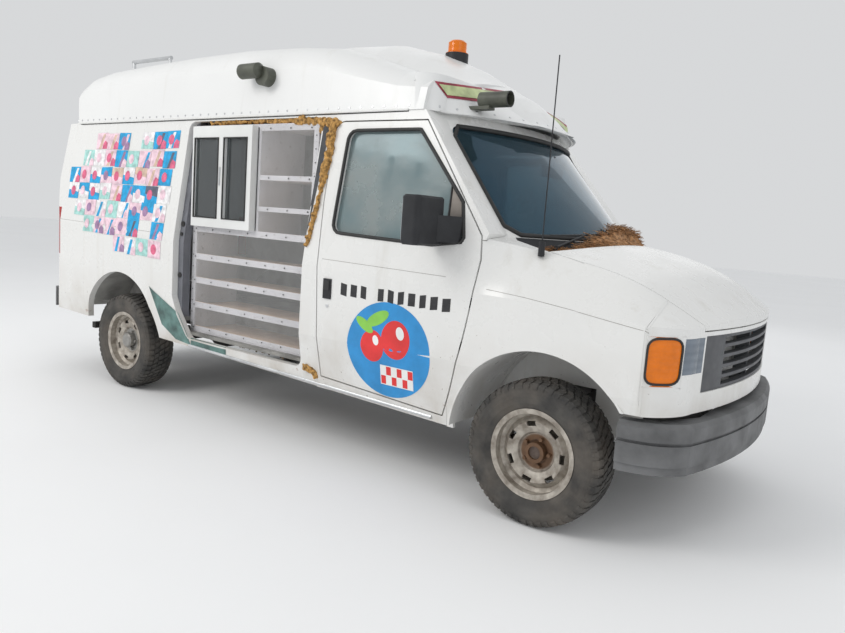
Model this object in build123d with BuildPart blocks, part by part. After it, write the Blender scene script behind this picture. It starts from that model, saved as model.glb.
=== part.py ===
from build123d import *
from math import atan, cos, sin, sqrt, tan
import os

# A full-size van with a raised fibreglass roof and a glazed display cabinet in its side opening.
# Millimetres. +X points to the nose, +Y to the left side, +Z up. The ground is Z = 0, and X = 0 is
# half way along the van.

os.makedirs("parts", exist_ok=True)

# Overall sizes
LENGTH = 5382
WHEELBASE = 3505
FRONT_OVERHANG = 790
BODY_WIDTH = 2014
TAPER_PER_SIDE = 18            # the sides close in by this much towards the tail
NOSE_X = LENGTH / 2
TAIL_X = -LENGTH / 2
FRONT_AXLE_X = NOSE_X - FRONT_OVERHANG
REAR_AXLE_X = FRONT_AXLE_X - WHEELBASE
HALF_WIDTH = BODY_WIDTH / 2

# Gaps and walls
FIT = 0.3                      # glass, lamps and trim in their seats
PANEL_GAP = 8                  # round doors and the hood
BODY_WALL = 45                 # outer skin and inner panel together
DOOR_WALL = 60
NOSE_WALL = 20
HOOD_WALL = 26
ROOF_WALL = 30
GLASS = 5

# Heights
SILL_Z = 420                   # lower edge of the body side, half way along
SILL_RISE = 0.029              # the lower edge climbs towards the tail
CREASE_Z = 1090
SEAM_Z = 2005                  # drip seam where the raised roof starts
SEAM_HALF = 882                # half the width there
TUCK_HALF = 952                # half the width at the lower edge
TUCK = 0.18                    # lean of the lower side
TUMBLE = (HALF_WIDTH - SEAM_HALF) / (SEAM_Z - CREASE_Z)
BELOW = 300                    # how far an inner form runs on past an open end
UNCUT = 300                    # carries a form's front past the windshield, so that it isn't cut

# Body plan and side outline
REAR_CORNER = 150
REAR_X = TAIL_X + 60
REAR_BELT_Z = 1200
REAR_SEAM_X = TAIL_X + 150
CAB_FRONT_X = FRONT_AXLE_X - 505
COWL_Z = 1260
COWL_HALF = 820

# Windshield: a plan arc drawn along a slanted line
GLASS_BASE_Z = 1385
GLASS_BASE_X = 1815            # at the centre
GLASS_HALF = 770
GLASS_SAGITTA = 230
GLASS_LEAN = atan(498 / 573)   # from upright
GLASS_TOP_Z = 1945
PILLAR_LOW_X = 1572            # front of the pillars at the foot and the top of the glass
PILLAR_TOP_X = 1122
PILLAR_FOOT_Z = 1352
PILLAR_INNER_Y = 700

# Raised roof
ROOF_REAR_X = REAR_SEAM_X + 20
ROOF_SIDE_HALF = 862
ROOF_SHOULDER_HALF = 600
ROOF_VALLEY_HALF = 430
BAND_TOP_Z = 2205
BAND_CORNER = 110

# Rails and floor
RAIL_Y = 430
RAIL_WIDTH = 80
RAIL_Z = 470
RAIL_HEIGHT = 140
FLOOR_Z = RAIL_Z + RAIL_HEIGHT
FLOOR_THICK = 30
FLOOR_TOP = FLOOR_Z + FLOOR_THICK

# Wheels
TYRE_RADIUS = 357
TYRE_WIDTH = 235
RIM_RADIUS = 203.2             # bead seat of a 16 inch rim
RIM_WIDTH = 178
RIM_LIP = 18
FRONT_TRACK = 1735
REAR_TRACK = 1710
WHEEL_Z = TYRE_RADIUS
SLOT_COUNT = 7
LUG_COUNT = 5
LUG_CIRCLE_R = 139.7 / 2
LUG_R = 10
KINGPIN_INBOARD = 95           # from the middle of the tyre
SPINDLE_R = 32
BRAKE_R = 152
HUB_BORE_R = 60

# Arches
ARCH_R = 485
FRONT_ARCH_X = FRONT_AXLE_X + 20
FRONT_ARCH_Z = 375
REAR_ARCH_X = REAR_AXLE_X - 15
REAR_ARCH_Z = 398
TOWER_Z = 600                  # top of the front springs
LINER = 12
LINER_INNER_Y = 490
LINER_Y_OUT = 985
HOUSE_INNER_Y = 640

# Front doors and their hinges
DOOR_REAR_X = 445
DOOR_TOP_Z = 1950
DOOR_FRONT_X = 1541
HINGE_X = 1455
HINGE_Y = -999
HINGE_PIN_R = 4.5
HINGE_ZS = (820, 1040)         # middle of each hinge
HINGE_POCKET = 50
HINGE_ARM = 5                  # half the arm's width
PILLAR_Y = 868                 # outer face of the hinge pillars
PILLAR_DEPTH = 70

# Rear doors and their hinges
REAR_DOOR_HALF = 720
REAR_DOOR_LOW = 690
REAR_DOOR_TOP = 1930
REAR_HINGE_IN = 9              # the pin's place in from the door's outer corner
REAR_HINGE_ZS = (830, 1130)
REAR_LAP = 14                  # the meeting edges step back behind this depth

# Tail lamps: a box outline on the right rear corner
TAIL_LAMP = ((TAIL_X, -1100, 950), (REAR_X + 130, -REAR_DOOR_HALF - 130, 1330))

# Firewall, with its opening over the engine
FIREWALL_X = CAB_FRONT_X - 16
ENGINE_REAR_X = 1200
ENGINE_FRONT_X = 1960
ENGINE_HALF = 280
ENGINE_TOP_Z = 1040
COVER_GAP = 50

# Side opening and what fills it
BAY_REAR_X = -940
BAY_FRONT_X = 335
BAY_LOW_Z = 500
BAY_TOP_Z = 1985
BAY_CORNER = 60
CABINET_REAR_X = -880
CABINET_FRONT_X = 300
CABINET_FACE_Y = -880
CABINET_DEPTH = 380
CABINET_LOW_Z = 540
CABINET_TOP_Z = 1955
BOARD = 20
SHELF_ZS = (732, 905, 1070, 1262)
SHORT_SHELF_ZS = (1431, 1628)
DIVIDER_X = -228
WINDOW_LOW_Z = 1282
WINDOW_PROUD = 50
WINDOW_BAR = 25

# Mirrors
MIRROR_X = 1285
MIRROR_HEAD_Y = 1130
MIRROR_DEEP = 110
MIRROR_WIDE = 230
MIRROR_LOW_Z = 1305
MIRROR_TALL = 240

# Hood and its hinge
HOOD_HINGE_X = 1825
HOOD_HINGE_Z = 1278
HOOD_TAB_Y = 700
HOOD_SIDE_Y = 798
HOOD_LIP_Z = 1030
HOOD_GAP = 6

# Nose: where the fenders end and the header panel starts, and the pockets in it
HEADER_X = 2391
HEADER_LOW_Z = 655
LAMP_LOW_Z = 840
LAMP_TOP_Z = 1000
CORNER_LAMP_LOW_Z = 790
CORNER_LAMP_TOP_Z = 1008
LAMP_SPLIT_Y = 832
GRILLE_HALF = 662
GRILLE_LOW_Z = 745
GRILLE_TOP_Z = 1005
GRILLE_BARS = 5
GRILLE_BAR = 16

# Lamps at the front
LAMP_DEPTH = 60

# Bumpers
FRONT_BUMPER_LOW = 395
FRONT_BUMPER_TOP = 625
REAR_BUMPER_LOW = 500
REAR_BUMPER_TOP = 660

# Cowl panel
COWL_SINK = 45
COWL_PANEL_HALF = 790

# Outlines of the lamps and the grille on the right: two corners of a box
HEADLAMP = ((HEADER_X + 60, -LAMP_SPLIT_Y, LAMP_LOW_Z), (NOSE_X, -GRILLE_HALF - 12, LAMP_TOP_Z))
CORNER_LAMP = (
    (HEADER_X + 8, -1100, CORNER_LAMP_LOW_Z),
    (NOSE_X, -LAMP_SPLIT_Y - 6, CORNER_LAMP_TOP_Z),
)
GRILLE = ((HEADER_X + 100, -GRILLE_HALF, GRILLE_LOW_Z), (NOSE_X, GRILLE_HALF, GRILLE_TOP_Z))

# Frame, springs, front beams and tow bar
RAIL_REAR_X = REAR_X + BODY_WALL + FIT
RAIL_FRONT_X = NOSE_X - 131 - FIT
RAIL_IN = RAIL_Y - RAIL_WIDTH / 2
RAIL_OUT = RAIL_Y + RAIL_WIDTH / 2
SPRING_Y = 590
SPRING_R = 60
BEAM_Z = 312
BEAM_TOP = 402
PIVOT_Y = 230
TOW_X = REAR_X + 180
TOW_Z = 340
TOW_TUBE = 50
HITCH_PIN_X = -2600
HITCH_PIN_R = 8

# Step wells and the step under the cabinet
STEP_Y = 760
STEP_THICK = 8
BAY_STEP_Y = -(CABINET_FACE_Y + CABINET_DEPTH) - FIT

# Kingpins and their eyes
KINGPIN_Y = FRONT_TRACK / 2 - KINGPIN_INBOARD
KINGPIN_R = 14
EYE_LOW = 92
EYE_HIGH = 128

# Rear axle
REAR_TUBE_R = 42

# Seats
SEAT_X = 760
SEAT_Y = 440

# Dashboard and steering wheel
DASH_HALF = PILLAR_Y - PILLAR_DEPTH - 1
WHEEL_PLANE = Plane(origin=(1030, SEAT_Y, 1120), x_dir=(0, 1, 0), z_dir=(-0.766, 0, 0.643))

# Cabinet boards and the service window
BACK_Y = CABINET_FACE_Y + CABINET_DEPTH
STRIP = 42
FACE = 18
SHEET_Y = CABINET_FACE_Y - FIT
WINDOW_REAR_X = CABINET_REAR_X + 38
WINDOW_FRONT_X = DIVIDER_X - 10
WINDOW_TOP_Z = CABINET_TOP_Z - 10
WINDOW_SILL_Z = WINDOW_LOW_Z + 62
WINDOW_HEAD_Z = WINDOW_TOP_Z - 78
MULLION_X = (WINDOW_REAR_X + WINDOW_FRONT_X) / 2
LITES = (
    (WINDOW_REAR_X + WINDOW_BAR, MULLION_X - 28),
    (MULLION_X + 28, WINDOW_FRONT_X - WINDOW_BAR - 20),
)

# Roof fittings and antenna
BEACON_X = 631
BEACON_TOP_Z = 2592
BAR_R = 15
BAR_Z = 2535
ANTENNA_X = 1800
ANTENNA_Y = -850


def save(piece, node):
    """Label a finished piece and write it to its own file."""
    piece.label = node
    export_step(piece, f"parts/{node}.step")


def other_side(piece):
    """The same piece on the other side of the van."""
    with BuildPart() as copy:
        mirror(piece, about=Plane.XZ)
    return copy.part


# Side views are drawn on this plane and carried across the whole van
SIDE_VIEW = Plane.XZ.offset(-BODY_WIDTH)
ACROSS = 2 * BODY_WIDTH


def block(low_corner, high_corner):
    """A box between two corners."""
    (x0, y0, z0), (x1, y1, z1) = low_corner, high_corner
    with BuildPart() as box:
        with Locations(((x0 + x1) / 2, (y0 + y1) / 2, (z0 + z1) / 2)):
            Box(x1 - x0, y1 - y0, z1 - z0)
    return box.part


def rod(x, y, z, radius, length, axis):
    """A cylinder of the given length about a middle point, along X, Y or Z."""
    turn = {"X": (0, 90, 0), "Y": (90, 0, 0), "Z": (0, 0, 0)}[axis]
    with BuildPart() as cylinder:
        with Locations(Location((x, y, z), turn)):
            Cylinder(radius, length)
    return cylinder.part


# Forms that several panels share

def cabin_form(inset, front=None, end_x=CAB_FRONT_X):
    """The body below the seam, drawn in by inset, or by front at the windshield.

    Below the cowl it ends at end_x. An inner form runs on past its open ends.
    """
    outer = inset == 0
    top = SEAM_Z if outer else SEAM_Z + BELOW
    low = 0 if outer else -BELOW
    half = HALF_WIDTH - inset
    wide_z = CREASE_Z - 200
    with BuildPart() as form:
        with BuildSketch(Plane.YZ.offset(TAIL_X)):
            top_half = half - TUMBLE * (top - CREASE_Z)
            wide_half = half + TUMBLE * (CREASE_Z - wide_z)
            low_half = TUCK_HALF - inset - TUCK * (SILL_Z - low)
            with BuildLine():
                Polyline(
                    (-top_half, top),
                    (top_half, top),
                    (wide_half, wide_z),
                    (low_half, low),
                    (-low_half, low),
                    (-wide_half, wide_z),
                    close=True,
                )
            make_face()
        extrude(amount=LENGTH)
        with BuildSketch(Plane.XY.offset(low)):
            with BuildLine():
                Polyline(
                    (REAR_X + inset, half - TAPER_PER_SIDE),
                    (CAB_FRONT_X, half),
                    (NOSE_X, half),
                    (NOSE_X, -half),
                    (CAB_FRONT_X, -half),
                    (REAR_X + inset, TAPER_PER_SIDE - half),
                    close=True,
                )
            make_face()
            rear = [corner for corner in vertices() if corner.X < REAR_X + inset + 1]
            fillet(rear, radius=REAR_CORNER - inset)
        extrude(amount=top - low, mode=Mode.INTERSECT)
        lean = (REAR_SEAM_X - REAR_X) / (SEAM_Z - REAR_BELT_Z)
        back = [
            (REAR_X + inset, REAR_BELT_Z),
            (REAR_X + inset + lean * (top - REAR_BELT_Z), top),
            (NOSE_X, top),
        ]
        with BuildSketch(SIDE_VIEW):
            with BuildLine():
                if outer:
                    Polyline(
                        (REAR_X, SILL_Z - SILL_RISE * REAR_X),
                        *back,
                        (NOSE_X, COWL_Z),
                        (end_x, COWL_Z),
                        (end_x, SILL_Z - SILL_RISE * end_x),
                        close=True,
                    )
                else:
                    Polyline((REAR_X + inset, low), *back, (NOSE_X, low), close=True)
            make_face()
        extrude(amount=ACROSS, mode=Mode.INTERSECT)
        add(glass_prism(inset if front is None else front, low, top), mode=Mode.INTERSECT)
    return form.part


def glass_prism(inset, low, top):
    """Everything behind the windshield's curved and slanted surface, drawn in by inset."""
    centre = GLASS_BASE_X + (GLASS_BASE_Z - low) * tan(GLASS_LEAN) - inset / cos(GLASS_LEAN)
    radius = (GLASS_HALF**2 + GLASS_SAGITTA**2) / (2 * GLASS_SAGITTA)
    side = HALF_WIDTH + 40
    edge = centre - radius + sqrt(radius**2 - side**2)
    with BuildPart() as prism:
        with BuildSketch(Plane.XY.offset(low)):
            with BuildLine():
                ThreePointArc((edge, -side), (centre, 0), (edge, side))
                Polyline((edge, side), (2 * TAIL_X, side), (2 * TAIL_X, -side), (edge, -side))
            make_face()
        extrude(amount=(top - low) / cos(GLASS_LEAN), dir=(-sin(GLASS_LEAN), 0, cos(GLASS_LEAN)))
    return prism.part


# Nose sections: x, belt half width, belt z, hood edge half width, hood edge z, crown z
NOSE_SECTIONS = (
    (CAB_FRONT_X - 60, HALF_WIDTH, CREASE_Z, 967, 1385, 1450),
    (1560, HALF_WIDTH, CREASE_Z, 955, 1358, 1425),
    (1800, 1004, 1085, 822, 1318, 1393),
    (2150, 996, 1070, 792, 1243, 1336),
    (2400, 980, 1045, 757, 1137, 1243),
    (2520, 958, 1015, 728, 1062, 1165),
    (2680, 925, 975, 690, 950, 1030),
)


def nose_form(inset):
    """The front of the body with its hood, drawn in by inset and open below."""
    low = 300 if inset == 0 else 0
    with BuildPart() as form:
        for x, belt, belt_z, edge, edge_z, crown_z in NOSE_SECTIONS:
            low_half = TUCK_HALF - inset - TUCK * (SILL_Z - low) - (HALF_WIDTH - belt)
            tuck_z = SILL_Z + (HALF_WIDTH - TUCK_HALF) / TUCK
            with BuildSketch(Plane.YZ.offset(x)):
                with BuildLine():
                    Polyline(
                        (-(edge - inset), edge_z - inset),
                        (-(belt - inset), belt_z),
                        (-(belt - inset), tuck_z),
                        (-low_half, low),
                        (low_half, low),
                        (belt - inset, tuck_z),
                        (belt - inset, belt_z),
                        (edge - inset, edge_z - inset),
                    )
                    ThreePointArc(
                        (edge - inset, edge_z - inset),
                        (0, crown_z - inset),
                        (-(edge - inset), edge_z - inset),
                    )
                make_face()
        loft()
        with BuildSketch(Plane.XY):
            with BuildLine():
                front = NOSE_X - 59 - inset
                ThreePointArc((front - 87, -720 + inset), (front, 0), (front - 87, 720 - inset))
                ThreePointArc(
                    (front - 87, 720 - inset),
                    (front - 142, 880 - inset),
                    (front - 252, 985 - inset),
                )
                Polyline(
                    (front - 252, 985 - inset),
                    (front - 700, HALF_WIDTH + 5 - inset),
                    (0, HALF_WIDTH + 5 - inset),
                    (0, -HALF_WIDTH - 5 + inset),
                    (front - 700, -HALF_WIDTH - 5 + inset),
                    (front - 252, -985 + inset),
                )
                ThreePointArc(
                    (front - 252, -985 + inset),
                    (front - 142, -880 + inset),
                    (front - 87, -720 + inset),
                )
            make_face()
        extrude(amount=2000, mode=Mode.INTERSECT)
    return form.part


# Roof sections: x, top of the side z, shoulder z, valley z, crown z
ROOF_SECTIONS = (
    (ROOF_REAR_X, 2150, 2290, 2306, 2320),
    (-2440, 2225, 2352, 2371, 2390),
    (-2330, 2270, 2398, 2419, 2440),
    (-2120, 2292, 2426, 2450, 2474),
    (-1650, 2297, 2448, 2474, 2500),
    (-1100, 2303, 2464, 2494, 2526),
    (-550, 2303, 2468, 2503, 2556),
    (-50, 2284, 2448, 2480, 2586),
    (300, 2262, 2412, 2436, 2572),
    (600, 2192, 2322, 2338, 2493),
    (850, 2140, 2240, 2254, 2390),
    (1060, 2120, 2205, 2216, 2268),
)
# The hump that runs down the middle of the front band: x, half width, edge z, crown z
HUMP_SECTIONS = (
    (1040, 430, 2190, 2278),
    (1130, 415, 2140, 2233),
    (1200, 395, 2085, 2197),
    (1310, 330, 2020, 2114),
    (1404, 230, 2006, 2012),
)


def roof_form(inset):
    """The raised roof from the seam up, drawn in by inset and open below."""
    low = SEAM_Z if inset == 0 else SEAM_Z - BELOW
    base = SEAM_HALF + 8 - inset
    side = ROOF_SIDE_HALF - inset
    shoulder = ROOF_SHOULDER_HALF - inset
    valley = ROOF_VALLEY_HALF - inset
    with BuildPart() as form:
        for x, side_z, shoulder_z, valley_z, crown_z in ROOF_SECTIONS:
            mid_y = shoulder + 0.72 * (side - shoulder)
            mid_z = side_z + 0.72 * (shoulder_z - side_z) - inset
            with BuildSketch(Plane.YZ.offset(x)):
                with BuildLine():
                    Polyline((-side, side_z - inset), (-base, low), (base, low), (side, side_z - inset))
                    ThreePointArc((side, side_z - inset), (mid_y, mid_z), (shoulder, shoulder_z - inset))
                    Line((shoulder, shoulder_z - inset), (valley, valley_z - inset))
                    ThreePointArc(
                        (valley, valley_z - inset),
                        (0, crown_z - inset),
                        (-valley, valley_z - inset),
                    )
                    Line((-valley, valley_z - inset), (-shoulder, shoulder_z - inset))
                    ThreePointArc(
                        (-shoulder, shoulder_z - inset),
                        (-mid_y, mid_z),
                        (-side, side_z - inset),
                    )
                make_face()
        loft(ruled=True)
        # The front band over the windshield: plan outlines at its foot and its top
        band = (
            (low, 1408, 1112, 755, base),
            (BAND_TOP_Z - inset, 1095, 1082, 700, side),
        )
        for z, centre_x, corner_x, corner_y, back_y in band:
            with BuildSketch(Plane.XY.offset(z)):
                with BuildLine():
                    nose = centre_x - inset
                    turn = corner_x - inset
                    back = turn - BAND_CORNER
                    y = corner_y - inset
                    mid_y = (y + back_y) / 2 + 22
                    ThreePointArc((turn, -y), (nose, 0), (turn, y))
                    ThreePointArc((turn, y), (turn - 30, mid_y), (back, back_y))
                    Line((back, back_y), (back, -back_y))
                    ThreePointArc((back, -back_y), (turn - 30, -mid_y), (turn, -y))
                make_face()
        loft(ruled=True)
        for x, half, edge_z, crown_z in HUMP_SECTIONS:
            with BuildSketch(Plane.YZ.offset(x - inset)):
                with BuildLine():
                    y = half - inset
                    Polyline((-y, edge_z - inset), (-y, low), (y, low), (y, edge_z - inset))
                    ThreePointArc((y, edge_z - inset), (0, crown_z - inset), (-y, edge_z - inset))
                make_face()
        loft(ruled=True)
        with BuildSketch(Plane.XY.offset(low)):
            with BuildLine():
                Polyline(
                    (ROOF_REAR_X + inset, HALF_WIDTH),
                    (NOSE_X, HALF_WIDTH),
                    (NOSE_X, -HALF_WIDTH),
                    (ROOF_REAR_X + inset, -HALF_WIDTH),
                    close=True,
                )
            make_face()
        extrude(amount=1000, mode=Mode.INTERSECT)
        # Rounded rear corners
        for side_y in (-1, 1):
            with BuildSketch(Plane.XY.offset(low)):
                with BuildLine():
                    x = ROOF_REAR_X + inset
                    radius = REAR_CORNER - inset
                    half = 0.7071 * radius
                    Polyline(
                        (x, side_y * (base - radius)),
                        (x - 50, side_y * (base - radius)),
                        (x - 50, side_y * (base + 50)),
                        (x + radius, side_y * (base + 50)),
                        (x + radius, side_y * base),
                    )
                    ThreePointArc(
                        (x + radius, side_y * base),
                        (x + radius - half, side_y * (base - radius + half)),
                        (x, side_y * (base - radius)),
                    )
                make_face()
            extrude(amount=1000, mode=Mode.SUBTRACT)
    return form.part


with BuildPart() as cabin_shell:
    add(cabin_form(0))
    add(cabin_form(BODY_WALL), mode=Mode.SUBTRACT)

with BuildPart() as door_shell:
    add(cabin_form(0, front=-UNCUT, end_x=DOOR_FRONT_X + 10))
    add(cabin_form(DOOR_WALL, front=-UNCUT), mode=Mode.SUBTRACT)

nose_outer = nose_form(0)
with BuildPart() as nose_shell:
    add(nose_outer)
    add(nose_form(NOSE_WALL), mode=Mode.SUBTRACT)


def door_outline(grow=0):
    """Side outline of a front door, made larger by grow."""
    with BuildSketch() as outline:
        with BuildLine():
            Polyline(
                (DOOR_FRONT_X, 1256),
                (DOOR_FRONT_X - 12, 1370),
                (1095, DOOR_TOP_Z - 5),
                (DOOR_REAR_X + 2, DOOR_TOP_Z),
                (DOOR_REAR_X - 5, 1500),
                (DOOR_REAR_X + 55, 480),
                (DOOR_FRONT_X - 175, 432),
            )
            ThreePointArc(
                (DOOR_FRONT_X - 175, 432),
                (DOOR_FRONT_X - 57, 851),
                (DOOR_FRONT_X, 1256),
            )
        make_face()
        fillet(outline.vertices().sort_by(Axis.Y)[-1], radius=70)
        if grow:
            offset(amount=grow)
    return outline.sketch


def window_outline(grow=0):
    """Side outline of a front door's window, made larger by grow."""
    with BuildSketch() as outline:
        with BuildLine():
            Polyline(
                (538, 1325),
                (560, 1898),
                (1062, 1896),
                (1392, 1532),
                (1432, 1335),
                (1240, 1308),
                close=True,
            )
        make_face()
        fillet(outline.vertices().sort_by(Axis.X)[0:2], radius=55)
        fillet(outline.vertices().sort_by(Axis.Y)[-1], radius=90)
        if grow:
            offset(amount=grow)
    return outline.sketch


def mirrored_pair(piece, name):
    """Save a right-hand piece and its left-hand twin."""
    save(piece, f"{name}_right")
    save(other_side(piece), f"{name}_left")


# Front doors: each slab has its window, and two pockets where the hinge arms reach their pins

with BuildPart() as front_door:
    with BuildSketch(Plane.XZ):
        add(door_outline())
    extrude(amount=BODY_WIDTH)
    add(door_shell.part, mode=Mode.INTERSECT)
    with BuildSketch(Plane.XZ):
        add(window_outline())
    extrude(amount=BODY_WIDTH, mode=Mode.SUBTRACT)
    for z in HINGE_ZS:
        half = HINGE_POCKET / 2
        add(
            block((HINGE_X - 14, HINGE_Y - 5, z - half), (DOOR_FRONT_X + 20, -PILLAR_Y, z + half)),
            mode=Mode.SUBTRACT,
        )
        add(rod(HINGE_X, HINGE_Y, z, HINGE_PIN_R + FIT, 2 * HINGE_POCKET, "Z"), mode=Mode.SUBTRACT)

with BuildPart() as door_glass:
    with BuildSketch(Plane.XZ):
        add(window_outline(-FIT))
    extrude(amount=BODY_WIDTH)
    add(cabin_form(22, front=-DOOR_WALL), mode=Mode.INTERSECT)
    add(cabin_form(22 + GLASS, front=-DOOR_WALL), mode=Mode.SUBTRACT)

with BuildPart() as mirror_piece:
    with BuildSketch(Plane.XY.offset(MIRROR_LOW_Z)):
        with Locations((MIRROR_X, -MIRROR_HEAD_Y)):
            Rectangle(MIRROR_DEEP, MIRROR_WIDE)
    extrude(amount=MIRROR_TALL)
    fillet(mirror_piece.edges().filter_by(Axis.Z), radius=30)
    chamfer(mirror_piece.faces().sort_by(Axis.Z)[-1].edges(), length=10)
    chamfer(mirror_piece.faces().sort_by(Axis.Z)[0].edges(), length=10)
    with BuildSketch(Plane.XY.offset(MIRROR_LOW_Z + 20)):
        with BuildLine():
            Polyline(
                (MIRROR_X - 40, -MIRROR_HEAD_Y),
                (MIRROR_X + 20, -MIRROR_HEAD_Y),
                (MIRROR_X + 175, -900),
                (MIRROR_X + 125, -900),
                close=True,
            )
        make_face()
    extrude(amount=MIRROR_TALL * 0.55)
    add(cabin_form(-FIT), mode=Mode.SUBTRACT)
    add(block((0, -970, 0), (NOSE_X, 0, SEAM_Z)), mode=Mode.SUBTRACT)

mirrored_pair(front_door.part, "front_door")
mirrored_pair(door_glass.part, "door_glass")
mirrored_pair(mirror_piece.part, "mirror")


# Windshield pillars: from the edge of the glass round to the door, and the corner over it

def pillar_outline(grow=0):
    """Side outline of the windshield pillars, made larger by grow."""
    with BuildSketch() as outline:
        with BuildLine():
            Polyline(
                (DOOR_FRONT_X - 120, PILLAR_FOOT_Z),
                (DOOR_FRONT_X + 15, PILLAR_FOOT_Z),
                (PILLAR_LOW_X, GLASS_BASE_Z),
                (PILLAR_TOP_X, GLASS_TOP_Z),
                (PILLAR_TOP_X - 50, SEAM_Z),
                (PILLAR_TOP_X - 170, SEAM_Z),
                close=True,
            )
        make_face()
        if grow:
            offset(amount=grow)
    return outline.sketch


with BuildPart() as pillars:
    with BuildSketch(SIDE_VIEW):
        add(pillar_outline())
    extrude(amount=ACROSS)
    add(cabin_form(0, front=-UNCUT), mode=Mode.INTERSECT)
    add(block((0, -PILLAR_INNER_Y, 0), (NOSE_X, PILLAR_INNER_Y, SEAM_Z)), mode=Mode.SUBTRACT)


# Cab front: the frame round both doors, the windshield's surround, the firewall and the cowl

with BuildPart() as windshield_hole:
    add(glass_prism(-50, COWL_Z, SEAM_Z))
    add(glass_prism(BODY_WALL + 50, COWL_Z - 10, SEAM_Z + 10), mode=Mode.SUBTRACT)
    with BuildSketch(Plane.YZ.offset(500)):
        with BuildLine():
            Polyline(
                (-GLASS_HALF - 20, GLASS_BASE_Z),
                (-GLASS_HALF + 35, GLASS_TOP_Z),
                (GLASS_HALF - 35, GLASS_TOP_Z),
                (GLASS_HALF + 20, GLASS_BASE_Z),
                close=True,
            )
        make_face()
        fillet(vertices(), radius=60)
    extrude(amount=2000, mode=Mode.INTERSECT)

with BuildPart() as windshield:
    add(windshield_hole.part)
    add(glass_prism(10, COWL_Z, SEAM_Z), mode=Mode.INTERSECT)
    add(glass_prism(10 + GLASS, COWL_Z - 10, SEAM_Z + 10), mode=Mode.SUBTRACT)

with BuildPart() as cowl:
    add(glass_prism(-30, COWL_Z - 15, COWL_Z))
    add(block((FIREWALL_X, -COWL_HALF, 0), (NOSE_X, COWL_HALF, SEAM_Z)), mode=Mode.INTERSECT)

with BuildPart() as cab_front:
    add(cabin_shell.part)
    add(block((DOOR_REAR_X - 9, -1100, 0), (NOSE_X, 1100, SEAM_Z)), mode=Mode.INTERSECT)
    add(pillars.part)
    with BuildSketch(SIDE_VIEW):
        add(door_outline(PANEL_GAP))
    extrude(amount=ACROSS, mode=Mode.SUBTRACT)
    add(windshield_hole.part, mode=Mode.SUBTRACT)
    # Firewall and the box behind the cowl, up to the curved foot of the windshield
    add(block((FIREWALL_X, -PILLAR_Y, FLOOR_TOP), (FIREWALL_X + 20, PILLAR_Y, COWL_Z)))
    hole = ENGINE_HALF + COVER_GAP
    add(
        block((0, -hole, 0), (NOSE_X, hole, ENGINE_TOP_Z + COVER_GAP)),
        mode=Mode.SUBTRACT,
    )
    add(cowl.part)
    for side in (-1, 1):
        inner, outer = sorted((side * (PILLAR_Y - PILLAR_DEPTH), side * PILLAR_Y))
        low_in, low_out = sorted((side * (PILLAR_Y - PILLAR_DEPTH), side * 925))
        add(block((FIREWALL_X, inner, 770), (FIREWALL_X + 180, outer, COWL_Z)))
        add(block((FIREWALL_X - 30, inner, 400), (FIREWALL_X, outer, COWL_Z)))
        add(block((DOOR_REAR_X - 9, low_in, 395), (FIREWALL_X, low_out, 409)))
        # Post from the cowl up to the windshield's corner, and the bracket of the hood's hinge pin
        post_in, post_out = sorted((side * (COWL_HALF - 80), side * COWL_HALF))
        add(block((DOOR_FRONT_X + 18, post_in, COWL_Z - 15), (DOOR_FRONT_X + 70, post_out, COWL_Z + 30)))
        arm_in, arm_out = sorted((side * (HOOD_TAB_Y + 8), side * (HOOD_TAB_Y + 18)))
        add(block((HOOD_HINGE_X - 65, arm_in, COWL_Z - 15), (HOOD_HINGE_X + 10, arm_out, HOOD_HINGE_Z + 10)))
        pin_in, pin_out = sorted((side * (HOOD_TAB_Y - 10), side * (HOOD_TAB_Y + 18)))
        add(rod(HOOD_HINGE_X, (pin_in + pin_out) / 2, HOOD_HINGE_Z, 6, pin_out - pin_in, "Y"))
        # Hinge arms and pins
        for z in HINGE_ZS:
            arm_in, arm_out = sorted((side * (PILLAR_Y - 5), -side * HINGE_Y))
            add(block((HINGE_X - HINGE_ARM, arm_in, z - 8), (HINGE_X + HINGE_ARM, arm_out, z + 8)))
            add(rod(HINGE_X, -side * HINGE_Y, z, HINGE_PIN_R, 2 * HINGE_POCKET - 6, "Z"))
save(cab_front.part, "cab_front")
save(windshield.part, "windshield")


# Body sides with their part of the tail, cut for the doors; the right one also for the side opening

with BuildPart() as body_side_left:
    add(cabin_shell.part)
    add(block((TAIL_X - 10, 0, 0), (DOOR_REAR_X - 9, 1100, SEAM_Z)), mode=Mode.INTERSECT)
    with BuildSketch(SIDE_VIEW):
        add(door_outline(PANEL_GAP))
    extrude(amount=ACROSS, mode=Mode.SUBTRACT)
    add(
        block(
            (TAIL_X - 10, -10, REAR_DOOR_LOW - PANEL_GAP),
            (TAIL_X + 400, REAR_DOOR_HALF + PANEL_GAP, REAR_DOOR_TOP + PANEL_GAP),
        ),
        mode=Mode.SUBTRACT,
    )
    add(rod(REAR_ARCH_X, HALF_WIDTH, REAR_ARCH_Z, ARCH_R, 400, "Y"), mode=Mode.SUBTRACT)
    add(other_side(block(*TAIL_LAMP)), mode=Mode.SUBTRACT)
    # Rear door hinge arms and pins
    for z in REAR_HINGE_ZS:
        pin_y = REAR_DOOR_HALF - REAR_HINGE_IN
        add(block((REAR_X + 4, pin_y, z - 8), (REAR_X + 14, REAR_DOOR_HALF + 20, z + 8)))
        add(rod(REAR_X + REAR_HINGE_IN, pin_y, z, HINGE_PIN_R, 2 * HINGE_POCKET - 6, "Z"))

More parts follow.
